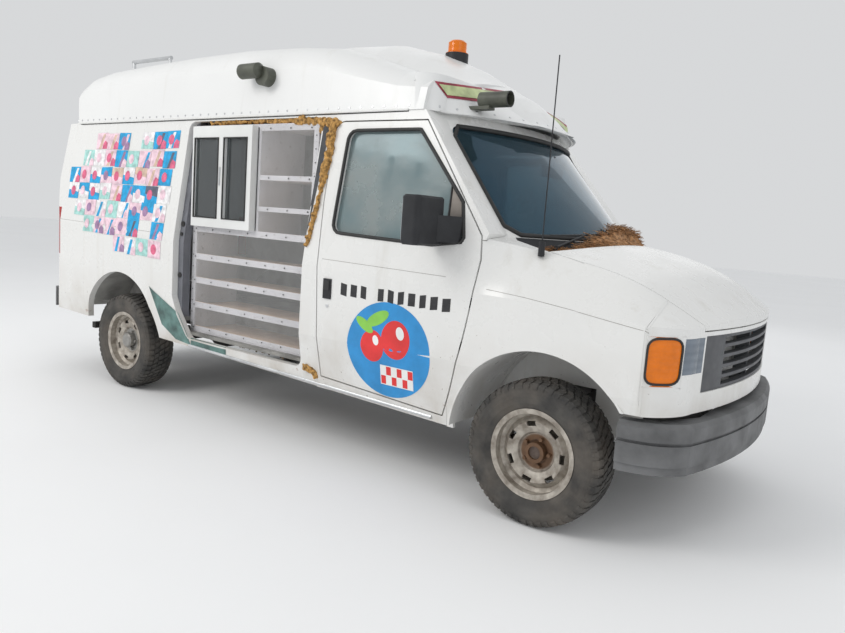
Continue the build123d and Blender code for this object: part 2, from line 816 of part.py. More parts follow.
with BuildPart() as body_side_right:
    add(other_side(body_side_left.part))
    with BuildSketch(Plane.XZ):
        with BuildLine():
            Polyline(
                (BAY_REAR_X + 150, BAY_LOW_Z),
                (BAY_REAR_X, BAY_LOW_Z + 280),
                (BAY_REAR_X, BAY_TOP_Z),
                (BAY_FRONT_X, BAY_TOP_Z),
                (BAY_FRONT_X, BAY_LOW_Z),
                close=True,
            )
        make_face()
        fillet(vertices(), radius=BAY_CORNER)
    extrude(amount=BODY_WIDTH, mode=Mode.SUBTRACT)

# Box posts inside the wall at both ends of the side opening
with BuildPart() as post_boxes:
    add(block((BAY_FRONT_X + 1, -1100, FLOOR_TOP + FIT), (DOOR_REAR_X - 9 - FIT, 0, SEAM_Z - 10)))
    add(block((CABINET_REAR_X - 120, -1100, FLOOR_TOP + FIT), (CABINET_REAR_X - 5, 0, SEAM_Z - 10)))

with BuildPart() as side_posts:
    add(cabin_form(BODY_WALL + FIT))
    add(cabin_form(BODY_WALL + 60), mode=Mode.SUBTRACT)
    add(post_boxes.part, mode=Mode.INTERSECT)
save(side_posts.part, "side_posts")
save(body_side_left.part, "body_side_left")
save(body_side_right.part, "body_side_right")


# Rear doors with windows, their inner edges stepped back where they meet

with BuildPart() as lap:
    add(cabin_form(REAR_LAP))
    add(block((TAIL_X, -16, 0), (0, 16, SEAM_Z)), mode=Mode.INTERSECT)

with BuildPart() as rear_door_left:
    add(door_shell.part)
    add(
        block(
            (TAIL_X - 10, PANEL_GAP / 2, REAR_DOOR_LOW),
            (TAIL_X + 400, REAR_DOOR_HALF, REAR_DOOR_TOP),
        ),
        mode=Mode.INTERSECT,
    )
    add(lap.part, mode=Mode.SUBTRACT)
    with BuildSketch(Plane.YZ.offset(TAIL_X - 10)):
        with Locations((REAR_DOOR_HALF / 2 + 10, 1585)):
            RectangleRounded(520, 440, 50)
    extrude(amount=400, mode=Mode.SUBTRACT)
    for z in REAR_HINGE_ZS:
        half = HINGE_POCKET / 2
        pin_y = REAR_DOOR_HALF - REAR_HINGE_IN
        add(
            block((TAIL_X, pin_y - 14, z - half), (REAR_X + 28, REAR_DOOR_HALF + 5, z + half)),
            mode=Mode.SUBTRACT,
        )
        add(
            rod(REAR_X + REAR_HINGE_IN, pin_y, z, HINGE_PIN_R + FIT, 2 * HINGE_POCKET, "Z"),
            mode=Mode.SUBTRACT,
        )

with BuildPart() as rear_glass_left:
    with BuildSketch(Plane.YZ.offset(TAIL_X - 10)):
        with Locations((REAR_DOOR_HALF / 2 + 10, 1585)):
            RectangleRounded(520 - 2 * FIT, 440 - 2 * FIT, 50)
    extrude(amount=400)
    add(cabin_form(20), mode=Mode.INTERSECT)
    add(cabin_form(20 + GLASS), mode=Mode.SUBTRACT)
for name, piece in (("rear_door", rear_door_left.part), ("rear_glass", rear_glass_left.part)):
    save(piece, f"{name}_left")
    save(other_side(piece), f"{name}_right")


# Raised roof

with BuildPart() as roof_cap:
    add(roof_form(0))
    add(roof_form(ROOF_WALL), mode=Mode.SUBTRACT)
save(roof_cap.part, "roof_cap")


# Hood, fenders and the header panel with its lamps and grille

def hood_plan(grow=0):
    """Plan outline of the hood, made larger by grow."""
    with BuildSketch() as outline:
        with BuildLine():
            ThreePointArc((1816, 792), (1950, 0), (1816, -792))
            Polyline((1816, 792), (1981, 788), (2261, 752), (2411, 728), (2500, 700), (2750, 600))
            Line((2750, 600), (2750, -600))
            Polyline((1816, -792), (1981, -788), (2261, -752), (2411, -728), (2500, -700), (2750, -600))
        make_face()
        if grow:
            offset(amount=grow)
    return outline.sketch


with BuildPart() as hood_tabs:
    for y in (-HOOD_TAB_Y, HOOD_TAB_Y):
        add(block((HOOD_HINGE_X - 11, y - 6, HOOD_HINGE_Z - 11), (HOOD_HINGE_X + 70, y + 6, HOOD_HINGE_Z + 11)))
        add(block((HOOD_HINGE_X + 30, y - 6, HOOD_HINGE_Z), (HOOD_HINGE_X + 70, y + 6, HOOD_HINGE_Z + 90)))
    add(nose_form(HOOD_WALL / 2), mode=Mode.INTERSECT)
    add(rod(HOOD_HINGE_X, 0, HOOD_HINGE_Z, 6 + FIT, 2000, "Y"), mode=Mode.SUBTRACT)

with BuildPart() as hood:
    add(nose_outer)
    add(nose_form(HOOD_WALL), mode=Mode.SUBTRACT)
    with BuildSketch(Plane.XY.offset(HOOD_LIP_Z)):
        add(hood_plan())
    extrude(amount=600, mode=Mode.INTERSECT)
    add(hood_tabs.part)
save(hood.part, "hood")


# Cowl panel: sunk between the hood's curved rear edge and the windshield, on a rib that follows
# the glass, with notches for the hood's hinges

with BuildPart() as cowl_rib:
    add(glass_prism(-26, COWL_Z + FIT, SEAM_Z))
    add(glass_prism(-14, COWL_Z - 10, SEAM_Z + 10), mode=Mode.SUBTRACT)
    add(block((0, -COWL_HALF + 90, 0), (NOSE_X, COWL_HALF - 90, SEAM_Z)), mode=Mode.INTERSECT)
    add(nose_form(COWL_SINK + 4), mode=Mode.INTERSECT)

with BuildPart() as cowl_panel:
    add(nose_form(COWL_SINK))
    add(nose_form(COWL_SINK + 8), mode=Mode.SUBTRACT)
    add(block((0, -COWL_PANEL_HALF, COWL_Z), (2100, COWL_PANEL_HALF, SEAM_Z)), mode=Mode.INTERSECT)
    with BuildSketch():
        add(hood_plan())
    extrude(amount=SEAM_Z, mode=Mode.SUBTRACT)
    add(glass_prism(-7, COWL_Z - 10, SEAM_Z), mode=Mode.SUBTRACT)
    add(cowl_rib.part)
    for y in (-HOOD_TAB_Y, HOOD_TAB_Y):
        add(
            block((HOOD_HINGE_X - 80, y - 26, COWL_Z), (HOOD_HINGE_X + 80, y + 26, SEAM_Z)),
            mode=Mode.SUBTRACT,
        )
save(cowl_panel.part, "cowl_panel")


def wheel_house(x, z, inner_y, outer_y, radius, low):
    """Right-hand half barrel over a wheel with its inner wall, open below and outside."""
    with BuildPart() as house:
        add(rod(x, (inner_y + outer_y) / 2, z, radius + LINER, outer_y - inner_y, "Y"))
        add(rod(x, (inner_y + outer_y) / 2 - LINER, z, radius, outer_y - inner_y, "Y"), mode=Mode.SUBTRACT)
        add(block((x - 800, -1100, low), (x + 800, 0, SEAM_Z)), mode=Mode.INTERSECT)
    return house.part


with BuildPart() as liner:
    add(wheel_house(FRONT_ARCH_X, FRONT_ARCH_Z, -LINER_Y_OUT, -LINER_INNER_Y, ARCH_R, FRONT_ARCH_Z + 25))
    add(block((FRONT_ARCH_X + 340, -1100, 0), (NOSE_X, 0, HEADER_LOW_Z)), mode=Mode.SUBTRACT)
    # Way through the inner wall for the beam and the spring tower
    add(
        block(
            (FRONT_AXLE_X - 110, -LINER_INNER_Y - 40, 0),
            (FRONT_AXLE_X + 110, -LINER_INNER_Y + 10, TOWER_Z + 30),
        ),
        mode=Mode.SUBTRACT,
    )

with BuildPart() as fender:
    add(nose_shell.part)
    add(block((DOOR_FRONT_X - 180, -1100, 0), (HEADER_X, 0, SEAM_Z)), mode=Mode.INTERSECT)
    with BuildSketch(SIDE_VIEW):
        add(door_outline(PANEL_GAP))
    extrude(amount=ACROSS, mode=Mode.SUBTRACT)
    with BuildSketch():
        add(hood_plan(HOOD_GAP))
    extrude(amount=SEAM_Z, mode=Mode.SUBTRACT)
    add(glass_prism(-6, COWL_Z - 20, SEAM_Z), mode=Mode.SUBTRACT)
    with BuildSketch(SIDE_VIEW):
        add(pillar_outline(3))
    extrude(amount=ACROSS, mode=Mode.SUBTRACT)
    add(block((0, -1100, 0), (DOOR_FRONT_X, 0, FRONT_ARCH_Z)), mode=Mode.SUBTRACT)
    add(block((0, -1100, 0), (CAB_FRONT_X + FIT, 0, HINGE_ZS[0])), mode=Mode.SUBTRACT)
    add(block((0, -HOOD_SIDE_Y, COWL_Z - 60), (HOOD_HINGE_X + 175, 0, SEAM_Z)), mode=Mode.SUBTRACT)
    add(block((FRONT_ARCH_X, -1100, 0), (NOSE_X, 0, HEADER_LOW_Z)), mode=Mode.SUBTRACT)
    add(rod(FRONT_ARCH_X, -HALF_WIDTH, FRONT_ARCH_Z, ARCH_R, 800, "Y"), mode=Mode.SUBTRACT)
    add(liner.part)
mirrored_pair(fender.part, "fender")


def lamp_form(low_corner, high_corner, seat=0):
    """A lamp as a slice of the nose with a box outline, smaller than its pocket by seat."""
    (x0, y0, z0), (x1, y1, z1) = low_corner, high_corner
    with BuildPart() as lamp:
        add(nose_outer)
        add(nose_form(LAMP_DEPTH), mode=Mode.SUBTRACT)
        add(
            block((x0 + seat, y0 + seat, z0 + seat), (x1, y1 - seat, z1 - seat)),
            mode=Mode.INTERSECT,
        )
    return lamp.part


with BuildPart() as header_panel:
    add(nose_shell.part)
    add(block((HEADER_X + 2, -1100, HEADER_LOW_Z), (NOSE_X, 1100, SEAM_Z)), mode=Mode.INTERSECT)
    with BuildSketch(Plane.XY.offset(HOOD_LIP_Z - HOOD_GAP)):
        add(hood_plan(HOOD_GAP))
    extrude(amount=SEAM_Z, mode=Mode.SUBTRACT)
    for corners in (HEADLAMP, CORNER_LAMP):
        pocket = block(*corners)
        add(pocket, mode=Mode.SUBTRACT)
        add(other_side(pocket), mode=Mode.SUBTRACT)
    add(block(*GRILLE), mode=Mode.SUBTRACT)
    # Radiator support behind the grille, tied to the fenders' inner side
    add(block((HEADER_X + 2, -LINER_INNER_Y, FLOOR_Z + FIT), (HEADER_X + 30, LINER_INNER_Y, 1000)))
    add(block((HEADER_X + 2, -950, HEADER_LOW_Z), (HEADER_X + 30, 950, HEADER_LOW_Z + 60)))
save(header_panel.part, "header_panel")

for name, corners in (("headlamp", HEADLAMP), ("corner_lamp", CORNER_LAMP)):
    mirrored_pair(lamp_form(*corners, seat=FIT), name)

with BuildPart() as grille:
    add(nose_form(6))
    add(nose_form(6 + 34), mode=Mode.SUBTRACT)
    (gx0, gy0, gz0), (gx1, gy1, gz1) = GRILLE
    add(block((gx0, gy0 + FIT, gz0 + FIT), (gx1, gy1 - FIT, gz1 - FIT)), mode=Mode.INTERSECT)
    pitch = (GRILLE_TOP_Z - GRILLE_LOW_Z - GRILLE_BAR) / GRILLE_BARS
    for bar in range(GRILLE_BARS):
        low = GRILLE_LOW_Z + GRILLE_BAR + bar * pitch
        add(
            block((HEADER_X, -GRILLE_HALF + 210, low), (NOSE_X, GRILLE_HALF - 210, low + pitch - GRILLE_BAR)),
            mode=Mode.SUBTRACT,
        )
    add(block((HEADER_X + 150, -8, GRILLE_LOW_Z + 6), (HEADER_X + 215, 8, GRILLE_TOP_Z - 6)))
save(grille.part, "grille")


# Bumpers

def bumper_plan(draw_in=0):
    """Plan of the front bumper, its outer face drawn in."""
    with BuildSketch() as outline:
        with BuildLine():
            nose = NOSE_X - draw_in
            wing = 968 - draw_in
            ThreePointArc((nose - 108, -800), (nose, 0), (nose - 108, 800))
            ThreePointArc((nose - 108, 800), (nose - 190, 905 - draw_in), (NOSE_X - 385, wing))
            Polyline(
                (NOSE_X - 385, wing),
                (NOSE_X - 385, 900),
                (NOSE_X - 235, 850),
                (NOSE_X - 131, 620),
                (NOSE_X - 131, -620),
                (NOSE_X - 235, -850),
                (NOSE_X - 385, -900),
                (NOSE_X - 385, -wing),
            )
            ThreePointArc((NOSE_X - 385, -wing), (nose - 190, draw_in - 905), (nose - 108, -800))
        make_face()
    return outline.sketch


with BuildPart() as front_bumper:
    for low, high, draw_in in (
        (FRONT_BUMPER_LOW, FRONT_BUMPER_LOW + 40, 8),
        (FRONT_BUMPER_LOW + 40, FRONT_BUMPER_TOP - 94, 0),
        (FRONT_BUMPER_TOP - 94, FRONT_BUMPER_TOP - 80, 10),
        (FRONT_BUMPER_TOP - 80, FRONT_BUMPER_TOP - 22, 0),
    ):
        with BuildSketch(Plane.XY.offset(low)):
            add(bumper_plan(draw_in))
        extrude(amount=high - low)
    with BuildSketch(Plane.XY.offset(FRONT_BUMPER_TOP - 22)):
        add(bumper_plan())
    with BuildSketch(Plane.XY.offset(FRONT_BUMPER_TOP)):
        add(bumper_plan(18))
    loft(ruled=True)

with BuildPart() as rear_bumper:
    with BuildSketch(Plane.XY.offset(REAR_BUMPER_LOW)):
        with Locations((TAIL_X, 0)):
            Rectangle(120, 1900, align=(Align.MIN, Align.CENTER))
        fillet(vertices().group_by(Axis.X)[0], radius=60)
    extrude(amount=REAR_BUMPER_TOP - REAR_BUMPER_LOW)
    add(block((REAR_X - FIT, -1100, 0), (0, 1100, SEAM_Z)), mode=Mode.SUBTRACT)
    add(block((REAR_X - 12, -560, REAR_BUMPER_LOW + 30), (REAR_X - FIT, 560, REAR_BUMPER_TOP - 30)))
save(front_bumper.part, "front_bumper")
save(rear_bumper.part, "rear_bumper")


# Ladder frame with cross-members, spring towers, fuel tank and tow bar


def both_sides(low_corner, high_corner):
    """A box and its mirror image on the other side."""
    piece = block(low_corner, high_corner)
    with BuildPart() as pair:
        add(piece)
        mirror(piece, about=Plane.XZ)
    return pair.part


with BuildPart() as tank:
    add(block((-1000, RAIL_OUT, 385), (-150, RAIL_OUT + 300, FLOOR_Z - 20)))
    fillet(tank.edges().filter_by(Axis.X), radius=40)

with BuildPart() as chassis_frame:
    add(both_sides((RAIL_REAR_X, RAIL_IN, RAIL_Z), (RAIL_FRONT_X, RAIL_OUT, FLOOR_Z)))
    for x in (RAIL_REAR_X + 30, -2000, -1150, -300, 400, 1000, 2320):
        add(block((x, -RAIL_IN, FLOOR_Z - 65), (x + 60, RAIL_IN, FLOOR_Z - 5)))
    # Spring towers and the bracket that holds the front beams' pivots
    add(both_sides((FRONT_AXLE_X - 70, RAIL_OUT, TOWER_Z), (FRONT_AXLE_X + 70, SPRING_Y + 65, TOWER_Z + 22)))
    add(block((FRONT_AXLE_X - 90, -RAIL_OUT, BEAM_TOP + 12), (FRONT_AXLE_X + 90, RAIL_OUT, BEAM_TOP + 30)))
    add(both_sides((FRONT_AXLE_X - 90, RAIL_IN, BEAM_TOP + 12), (FRONT_AXLE_X + 90, RAIL_OUT, RAIL_Z)))
    for side in (-1, 1):
        pivot_x = FRONT_AXLE_X + side * 45
        y = side * -PIVOT_Y
        for cheek in (-1, 1):
            x0, x1 = sorted((pivot_x + cheek * 31, pivot_x + cheek * 41))
            add(block((x0, y - 32, BEAM_Z + 10), (x1, y + 32, BEAM_TOP + 12)))
        add(rod(pivot_x, y, (BEAM_Z + BEAM_TOP) / 2, 10, 80, "X"))
    # Fuel tank strapped outside the left rail
    add(tank.part)
    # Square tow bar across the tail with its receiver tube
    add(block((TOW_X - TOW_TUBE / 2, -720, TOW_Z - TOW_TUBE / 2), (TOW_X + TOW_TUBE / 2, 720, TOW_Z + TOW_TUBE / 2)))
    add(both_sides((TOW_X - 25, RAIL_Y - 6, TOW_Z), (TOW_X + 25, RAIL_Y + 6, RAIL_Z)))
    add(block((TAIL_X + 20, -32, TOW_Z - 32), (TOW_X + 60, 32, TOW_Z + 32)))
    add(block((TAIL_X, -25.5, TOW_Z - 25.5), (TOW_X + 61, 25.5, TOW_Z + 25.5)), mode=Mode.SUBTRACT)
    add(rod(HITCH_PIN_X, 0, TOW_Z, HITCH_PIN_R, 80, "Y"), mode=Mode.SUBTRACT)
save(chassis_frame.part, "chassis_frame")

with BuildPart() as exhaust:
    add(block((-350, -340, 455), (250, -180, 540)))
    fillet(exhaust.edges().filter_by(Axis.X), radius=35)
    add(rod((-2400 + 1050) / 2, -260, 500, 28, 3450, "X"))
    for x in (-1970, 1030):
        add(block((x - 10, -266, 500), (x + 10, -254, FLOOR_Z - 65)))
save(exhaust.part, "exhaust")


# Floor pan with rear wheel houses, the cab's step wells and the side opening's step

floor_form = cabin_form(BODY_WALL + FIT)
with BuildPart() as floor_pan:
    add(block((REAR_X + BODY_WALL, -1000, FLOOR_Z), (FIREWALL_X + 20, 1000, FLOOR_TOP)))
    for side in (-1, 1):
        y0, y1 = sorted((side * STEP_Y, side * 1000))
        add(block((DOOR_REAR_X - 9, y0, 0), (NOSE_X, y1, SEAM_Z)), mode=Mode.SUBTRACT)
        y0, y1 = sorted((side * STEP_Y, side * (STEP_Y - STEP_THICK)))
        add(block((DOOR_REAR_X - 9, y0, 409 + FIT), (FIREWALL_X - 31, y1, FLOOR_Z)))
    add(
        block((ENGINE_REAR_X - 60, -ENGINE_HALF - 30, 0), (NOSE_X, ENGINE_HALF + 30, SEAM_Z)),
        mode=Mode.SUBTRACT,
    )
    add(
        block((CABINET_REAR_X - 6, -1000, 0), (BAY_FRONT_X, -BAY_STEP_Y, SEAM_Z)),
        mode=Mode.SUBTRACT,
    )
    step_top = CABINET_LOW_Z - FIT
    add(block((CABINET_REAR_X - 6, -1000, step_top - 20), (BAY_FRONT_X, -BAY_STEP_Y + 10, step_top)))
    add(block((CABINET_REAR_X - 6, -BAY_STEP_Y, step_top - 20), (BAY_FRONT_X, -BAY_STEP_Y + 10, FLOOR_TOP)))
    add(rod(REAR_ARCH_X, 0, REAR_ARCH_Z, ARCH_R, 2100, "Y"), mode=Mode.SUBTRACT)
    add(block((REAR_ARCH_X - 500, -HOUSE_INNER_Y, FLOOR_Z), (REAR_ARCH_X + 500, HOUSE_INNER_Y, FLOOR_TOP)))
    house = wheel_house(REAR_ARCH_X, REAR_ARCH_Z, -1000, -HOUSE_INNER_Y, ARCH_R, FLOOR_Z)
    add(house)
    add(other_side(house))
    add(floor_form, mode=Mode.INTERSECT)
save(floor_pan.part, "floor_pan")


# Engine with gearbox as one block, and the cover over it in the cab

with BuildPart() as engine:
    add(block((ENGINE_REAR_X, -ENGINE_HALF, 445), (ENGINE_FRONT_X, ENGINE_HALF, ENGINE_TOP_Z)))
    add(block((760, -130, 360), (ENGINE_REAR_X, 130, 540)))
    add(both_sides((1560, ENGINE_HALF, 480), (1640, RAIL_IN - FIT, 530)))
save(engine.part, "engine")

with BuildPart() as engine_cover:
    add(
        block(
            (ENGINE_REAR_X - 60, -ENGINE_HALF - 50, FLOOR_TOP + FIT),
            (FIREWALL_X - FIT, ENGINE_HALF + 50, ENGINE_TOP_Z + 60),
        )
    )
    fillet(engine_cover.edges().filter_by_position(Axis.X, ENGINE_REAR_X - 61, ENGINE_REAR_X - 59), radius=40)
    add(
        block(
            (ENGINE_REAR_X - 40, -ENGINE_HALF - 30, 0),
            (FIREWALL_X + 20, ENGINE_HALF + 30, ENGINE_TOP_Z + 40),
        ),
        mode=Mode.SUBTRACT,
    )
save(engine_cover.part, "engine_cover")


# Front axle: two crossing beams with coil springs, and the knuckles that carry the wheels


with BuildPart() as front_axle:
    for side in (-1, 1):
        x = FRONT_AXLE_X + side * 45
        fork = KINGPIN_Y - 45
        y0, y1 = sorted((side * (fork - 10), side * -PIVOT_Y))
        add(block((x - 28, y0, BEAM_Z), (x + 28, y1, BEAM_TOP)))
        for web in (-1, 1):
            wx0, wx1 = sorted((x + web * 10, x + web * 30))
            add(
                block((wx0, y0 + 60, BEAM_Z + 20), (wx1, y1 - 60, BEAM_TOP - 20)),
                mode=Mode.SUBTRACT,
            )
        add(rod(x, side * -PIVOT_Y, (BEAM_Z + BEAM_TOP) / 2, 44, 56, "X"))
        add(rod(x, side * -PIVOT_Y, (BEAM_Z + BEAM_TOP) / 2, 10 + FIT, 90, "X"), mode=Mode.SUBTRACT)
        y0, y1 = sorted((side * fork, side * (fork - 27)))
        add(block((FRONT_AXLE_X - 73, y0, WHEEL_Z - EYE_HIGH), (FRONT_AXLE_X + 73, y1, WHEEL_Z + EYE_HIGH)))
        for end in (-1, 1):
            z0, z1 = sorted((WHEEL_Z + end * EYE_LOW, WHEEL_Z + end * EYE_HIGH))
            y0, y1 = sorted((side * KINGPIN_Y, side * (fork - 27)))
            add(block((FRONT_AXLE_X - 30, y0, z0), (FRONT_AXLE_X + 30, y1, z1)))
            add(rod(FRONT_AXLE_X, side * KINGPIN_Y, (z0 + z1) / 2, 34, EYE_HIGH - EYE_LOW, "Z"))
        add(
            rod(FRONT_AXLE_X, side * KINGPIN_Y, WHEEL_Z, KINGPIN_R + FIT, 3 * EYE_HIGH, "Z"),
            mode=Mode.SUBTRACT,
        )
        tall = TOWER_Z - BEAM_TOP
        add(rod(FRONT_AXLE_X, side * SPRING_Y, BEAM_TOP + (tall - 1 - FIT) / 2, SPRING_R, tall + 1 - FIT, "Z"))
        add(
            rod(FRONT_AXLE_X, side * SPRING_Y, (BEAM_TOP + TOWER_Z) / 2 + 20, SPRING_R - 14, TOWER_Z - BEAM_TOP, "Z"),
            mode=Mode.SUBTRACT,
        )
save(front_axle.part, "front_axle")

with BuildPart() as knuckle:
    add(rod(FRONT_AXLE_X, KINGPIN_Y, WHEEL_Z, KINGPIN_R, 2 * EYE_HIGH - 4, "Z"))
    add(rod(FRONT_AXLE_X, KINGPIN_Y, WHEEL_Z, 36, 2 * EYE_LOW - 4, "Z"))
    add(rod(FRONT_AXLE_X, KINGPIN_Y + 72, WHEEL_Z, SPINDLE_R, 144, "Y"))
    # Caliper bracket and caliper behind the wheel's centre
    plate_y = FRONT_TRACK / 2 - 75
    add(block((FRONT_AXLE_X - 165, plate_y, WHEEL_Z - 38), (FRONT_AXLE_X, plate_y + 17, WHEEL_Z + 38)))
    add(block((FRONT_AXLE_X - 165, plate_y, WHEEL_Z - 38), (FRONT_AXLE_X - 112, plate_y + 79, WHEEL_Z + 38)))
    add(
        block(
            (FRONT_AXLE_X - 160, FRONT_TRACK / 2 - 46, WHEEL_Z - 60),
            (FRONT_AXLE_X - 60, FRONT_TRACK / 2 - 10, WHEEL_Z + 60),
        ),
        mode=Mode.SUBTRACT,
    )
save(other_side(knuckle.part), "knuckle_right")
save(knuckle.part, "knuckle_left")


# Rear axle on leaf springs, with the driveshaft

with BuildPart() as differential:
    add(rod(REAR_AXLE_X, 0, WHEEL_Z, 140, 200, "Y"))
    chamfer(differential.edges(), length=45)

with BuildPart() as rear_axle:
    add(rod(REAR_AXLE_X, 0, WHEEL_Z, REAR_TUBE_R, REAR_TRACK - 2 * 75, "Y"))
    add(rod(REAR_AXLE_X, 0, WHEEL_Z, SPINDLE_R, REAR_TRACK + 2 * 48, "Y"))
    add(differential.part)
    add(rod(REAR_AXLE_X + 150, 0, WHEEL_Z, 62, 180, "X"))
    shaft_rear = REAR_AXLE_X + 200
    add(rod((shaft_rear + 760 - FIT) / 2, 0, WHEEL_Z + 25, 36, 760 - FIT - shaft_rear, "X"))
    for side in (-1, 1):
        with BuildSketch(Plane.XZ.offset(-side * RAIL_Y)):
            with BuildLine():
                bottom = WHEEL_Z + REAR_TUBE_R - 3
                low_arc = ThreePointArc(
                    (REAR_AXLE_X - 650, bottom + 34),
                    (REAR_AXLE_X, bottom),
                    (REAR_AXLE_X + 650, bottom + 34),
                )
                high_arc = ThreePointArc(
                    (REAR_AXLE_X - 650, RAIL_Z),
                    (REAR_AXLE_X, bottom + 38),
                    (REAR_AXLE_X + 650, RAIL_Z),
                )
                Line(low_arc @ 0, high_arc @ 0)
                Line(low_arc @ 1, high_arc @ 1)
            make_face()
        extrude(amount=32, both=True)
        for x in (REAR_AXLE_X - 45, REAR_AXLE_X + 33):
            add(block((x, side * RAIL_Y - 38, WHEEL_Z - 50), (x + 12, side * RAIL_Y + 38, WHEEL_Z + 84)))
        add(
            block(
                (REAR_AXLE_X - 60, side * RAIL_Y - 45, WHEEL_Z - 55),
                (REAR_AXLE_X + 60, side * RAIL_Y + 45, WHEEL_Z - 38),
            )
        )
save(rear_axle.part, "rear_axle")


# Wheels: a slotted steel rim with its hub and brake, and the tyre on it

def hub_cap(x, y):
    """Rounded cap over the end of a hub."""
    with BuildPart() as cap:
        add(rod(x, y + 68, WHEEL_Z, 56, 24, "Y"))
        chamfer(cap.edges().sort_by(Axis.Y)[-1], length=10)
    return cap.part


def rim(x, y, cap):
    """Left-hand rim about the wheel's middle at y, with hub, brake disc or drum, and lug nuts."""
    half = RIM_WIDTH / 2
    lip = RIM_RADIUS + RIM_LIP
    z = WHEEL_Z
    with BuildPart() as wheel:
        with BuildSketch(Plane.YZ.offset(x)):
            with BuildLine():
                Polyline(
                    (y - half - 7, z + lip),
                    (y - half + 3, z + RIM_RADIUS),
                    (y - 38, z + RIM_RADIUS),
                    (y - 24, z + 184),
                    (y + 30, z + 184),
                    (y + 44, z + RIM_RADIUS),
                    (y + half - 3, z + RIM_RADIUS),
                    (y + half + 7, z + lip),
                    (y + half + 2, z + 196),
                    (y + 48, z + 196),
                    (y + 34, z + 177),
                    (y - 28, z + 177),
                    (y - 42, z + 196),
                    (y - half - 2, z + 196),
                    close=True,
                )
            make_face()
        revolve(axis=Axis((x, 0, z), (0, 1, 0)))
        # Dished disc
        with BuildSketch(Plane.YZ.offset(x)):
            with BuildLine():
                Polyline(
                    (y + 14, z + 178),
                    (y + 34, z + 178),
                    (y + 60, z + 148),
                    (y + 42, z + 100),
                    (y + 30, z + 92),
                    (y + 30, z + HUB_BORE_R),
                    (y + 21, z + HUB_BORE_R),
                    (y + 21, z + 96),
                    (y + 34, z + 106),
                    (y + 51, z + 146),
                    (y + 14, z + 170),
                    close=True,
                )
            make_face()
        revolve(axis=Axis((x, 0, z), (0, 1, 0)))
        with BuildSketch(Plane(origin=(x, y + 10, z), x_dir=(1, 0, 0), z_dir=(0, 1, 0))):
            with PolarLocations(142, SLOT_COUNT):
                Rectangle(26, 48)
        extrude(amount=80, mode=Mode.SUBTRACT)
        # Hub, brake and lugs
        add(rod(x, y + 2, z, 84, 38, "Y"))
        add(rod(x, y - 28, z, BRAKE_R, 24, "Y"))
        add(rod(x, y + 30, z, 50, 64, "Y"))
        if cap:
            add(hub_cap(x, y))
        with BuildSketch(Plane(origin=(x, y + 24, z), x_dir=(1, 0, 0), z_dir=(0, 1, 0))):
            with PolarLocations(LUG_CIRCLE_R, LUG_COUNT):
                RegularPolygon(LUG_R, 6)
        extrude(amount=28)
        add(rod(x, y, z, SPINDLE_R + FIT, 104 if cap else 300, "Y"), mode=Mode.SUBTRACT)
    return wheel.part


def tyre(x, y):
    """Tyre about the wheel's middle at y, open inside towards the rim."""
    half = TYRE_WIDTH / 2
    bead = RIM_WIDTH / 2 - 5
    z = WHEEL_Z
    seat = RIM_RADIUS + FIT
    with BuildPart() as ring:
        with BuildSketch(Plane.YZ.offset(x)):
            with BuildLine():
                Polyline(
                    (y - bead + 14, z + seat),
                    (y - bead, z + seat),
                    (y - half, z + TYRE_RADIUS - 90),
                    (y - half + 14, z + TYRE_RADIUS - 18),
                    (y - half + 38, z + TYRE_RADIUS),
                    (y + half - 38, z + TYRE_RADIUS),
                    (y + half - 14, z + TYRE_RADIUS - 18),
                    (y + half, z + TYRE_RADIUS - 90),
                    (y + bead, z + seat),
                    (y + bead - 14, z + seat),
                    (y + half - 16, z + TYRE_RADIUS - 84),
                    (y + half - 40, z + TYRE_RADIUS - 20),
                    (y - half + 40, z + TYRE_RADIUS - 20),
                    (y - half + 16, z + TYRE_RADIUS - 84),
                    close=True,
                )
            make_face()
        revolve(axis=Axis((x, 0, z), (0, 1, 0)))
    return ring.part


for place, x, track in (("front", FRONT_AXLE_X, FRONT_TRACK), ("rear", REAR_AXLE_X, REAR_TRACK)):
    rim_left = rim(x, track / 2, cap=place == "rear")
    tyre_left = tyre(x, track / 2)
    for name, piece in (("rim", rim_left), ("tyre", tyre_left)):
        save(piece, f"{name}_{place}_left")
        save(other_side(piece), f"{name}_{place}_right")


# Inside the cab: seats, dashboard and steering wheel

with BuildPart() as cushion:
    add(block((SEAT_X - 250, -250, FLOOR_TOP + 180), (SEAT_X + 260, 250, FLOOR_TOP + 320)))
    fillet(cushion.edges().filter_by(Axis.Y), radius=45)

with BuildPart() as seat_back:
    with BuildSketch(Plane.XZ.offset(-240)):
        with BuildLine():
            Polyline(
                (SEAT_X - 250, FLOOR_TOP + 250),
                (SEAT_X - 120, FLOOR_TOP + 300),
                (SEAT_X - 210, FLOOR_TOP + 1010),
                (SEAT_X - 320, FLOOR_TOP + 1010),
                close=True,
            )
        make_face()
        fillet(vertices().sort_by(Axis.Z)[-2:], radius=40)
    extrude(amount=480)

with BuildPart() as seats:
    for y in (-SEAT_Y, SEAT_Y):
        add(block((SEAT_X - 190, y - 190, FLOOR_TOP + FIT), (SEAT_X + 190, y + 190, FLOOR_TOP + 181)))
        with Locations((0, y, 0)):
            add(cushion.part)
            add(seat_back.part)
save(seats.part, "seats")

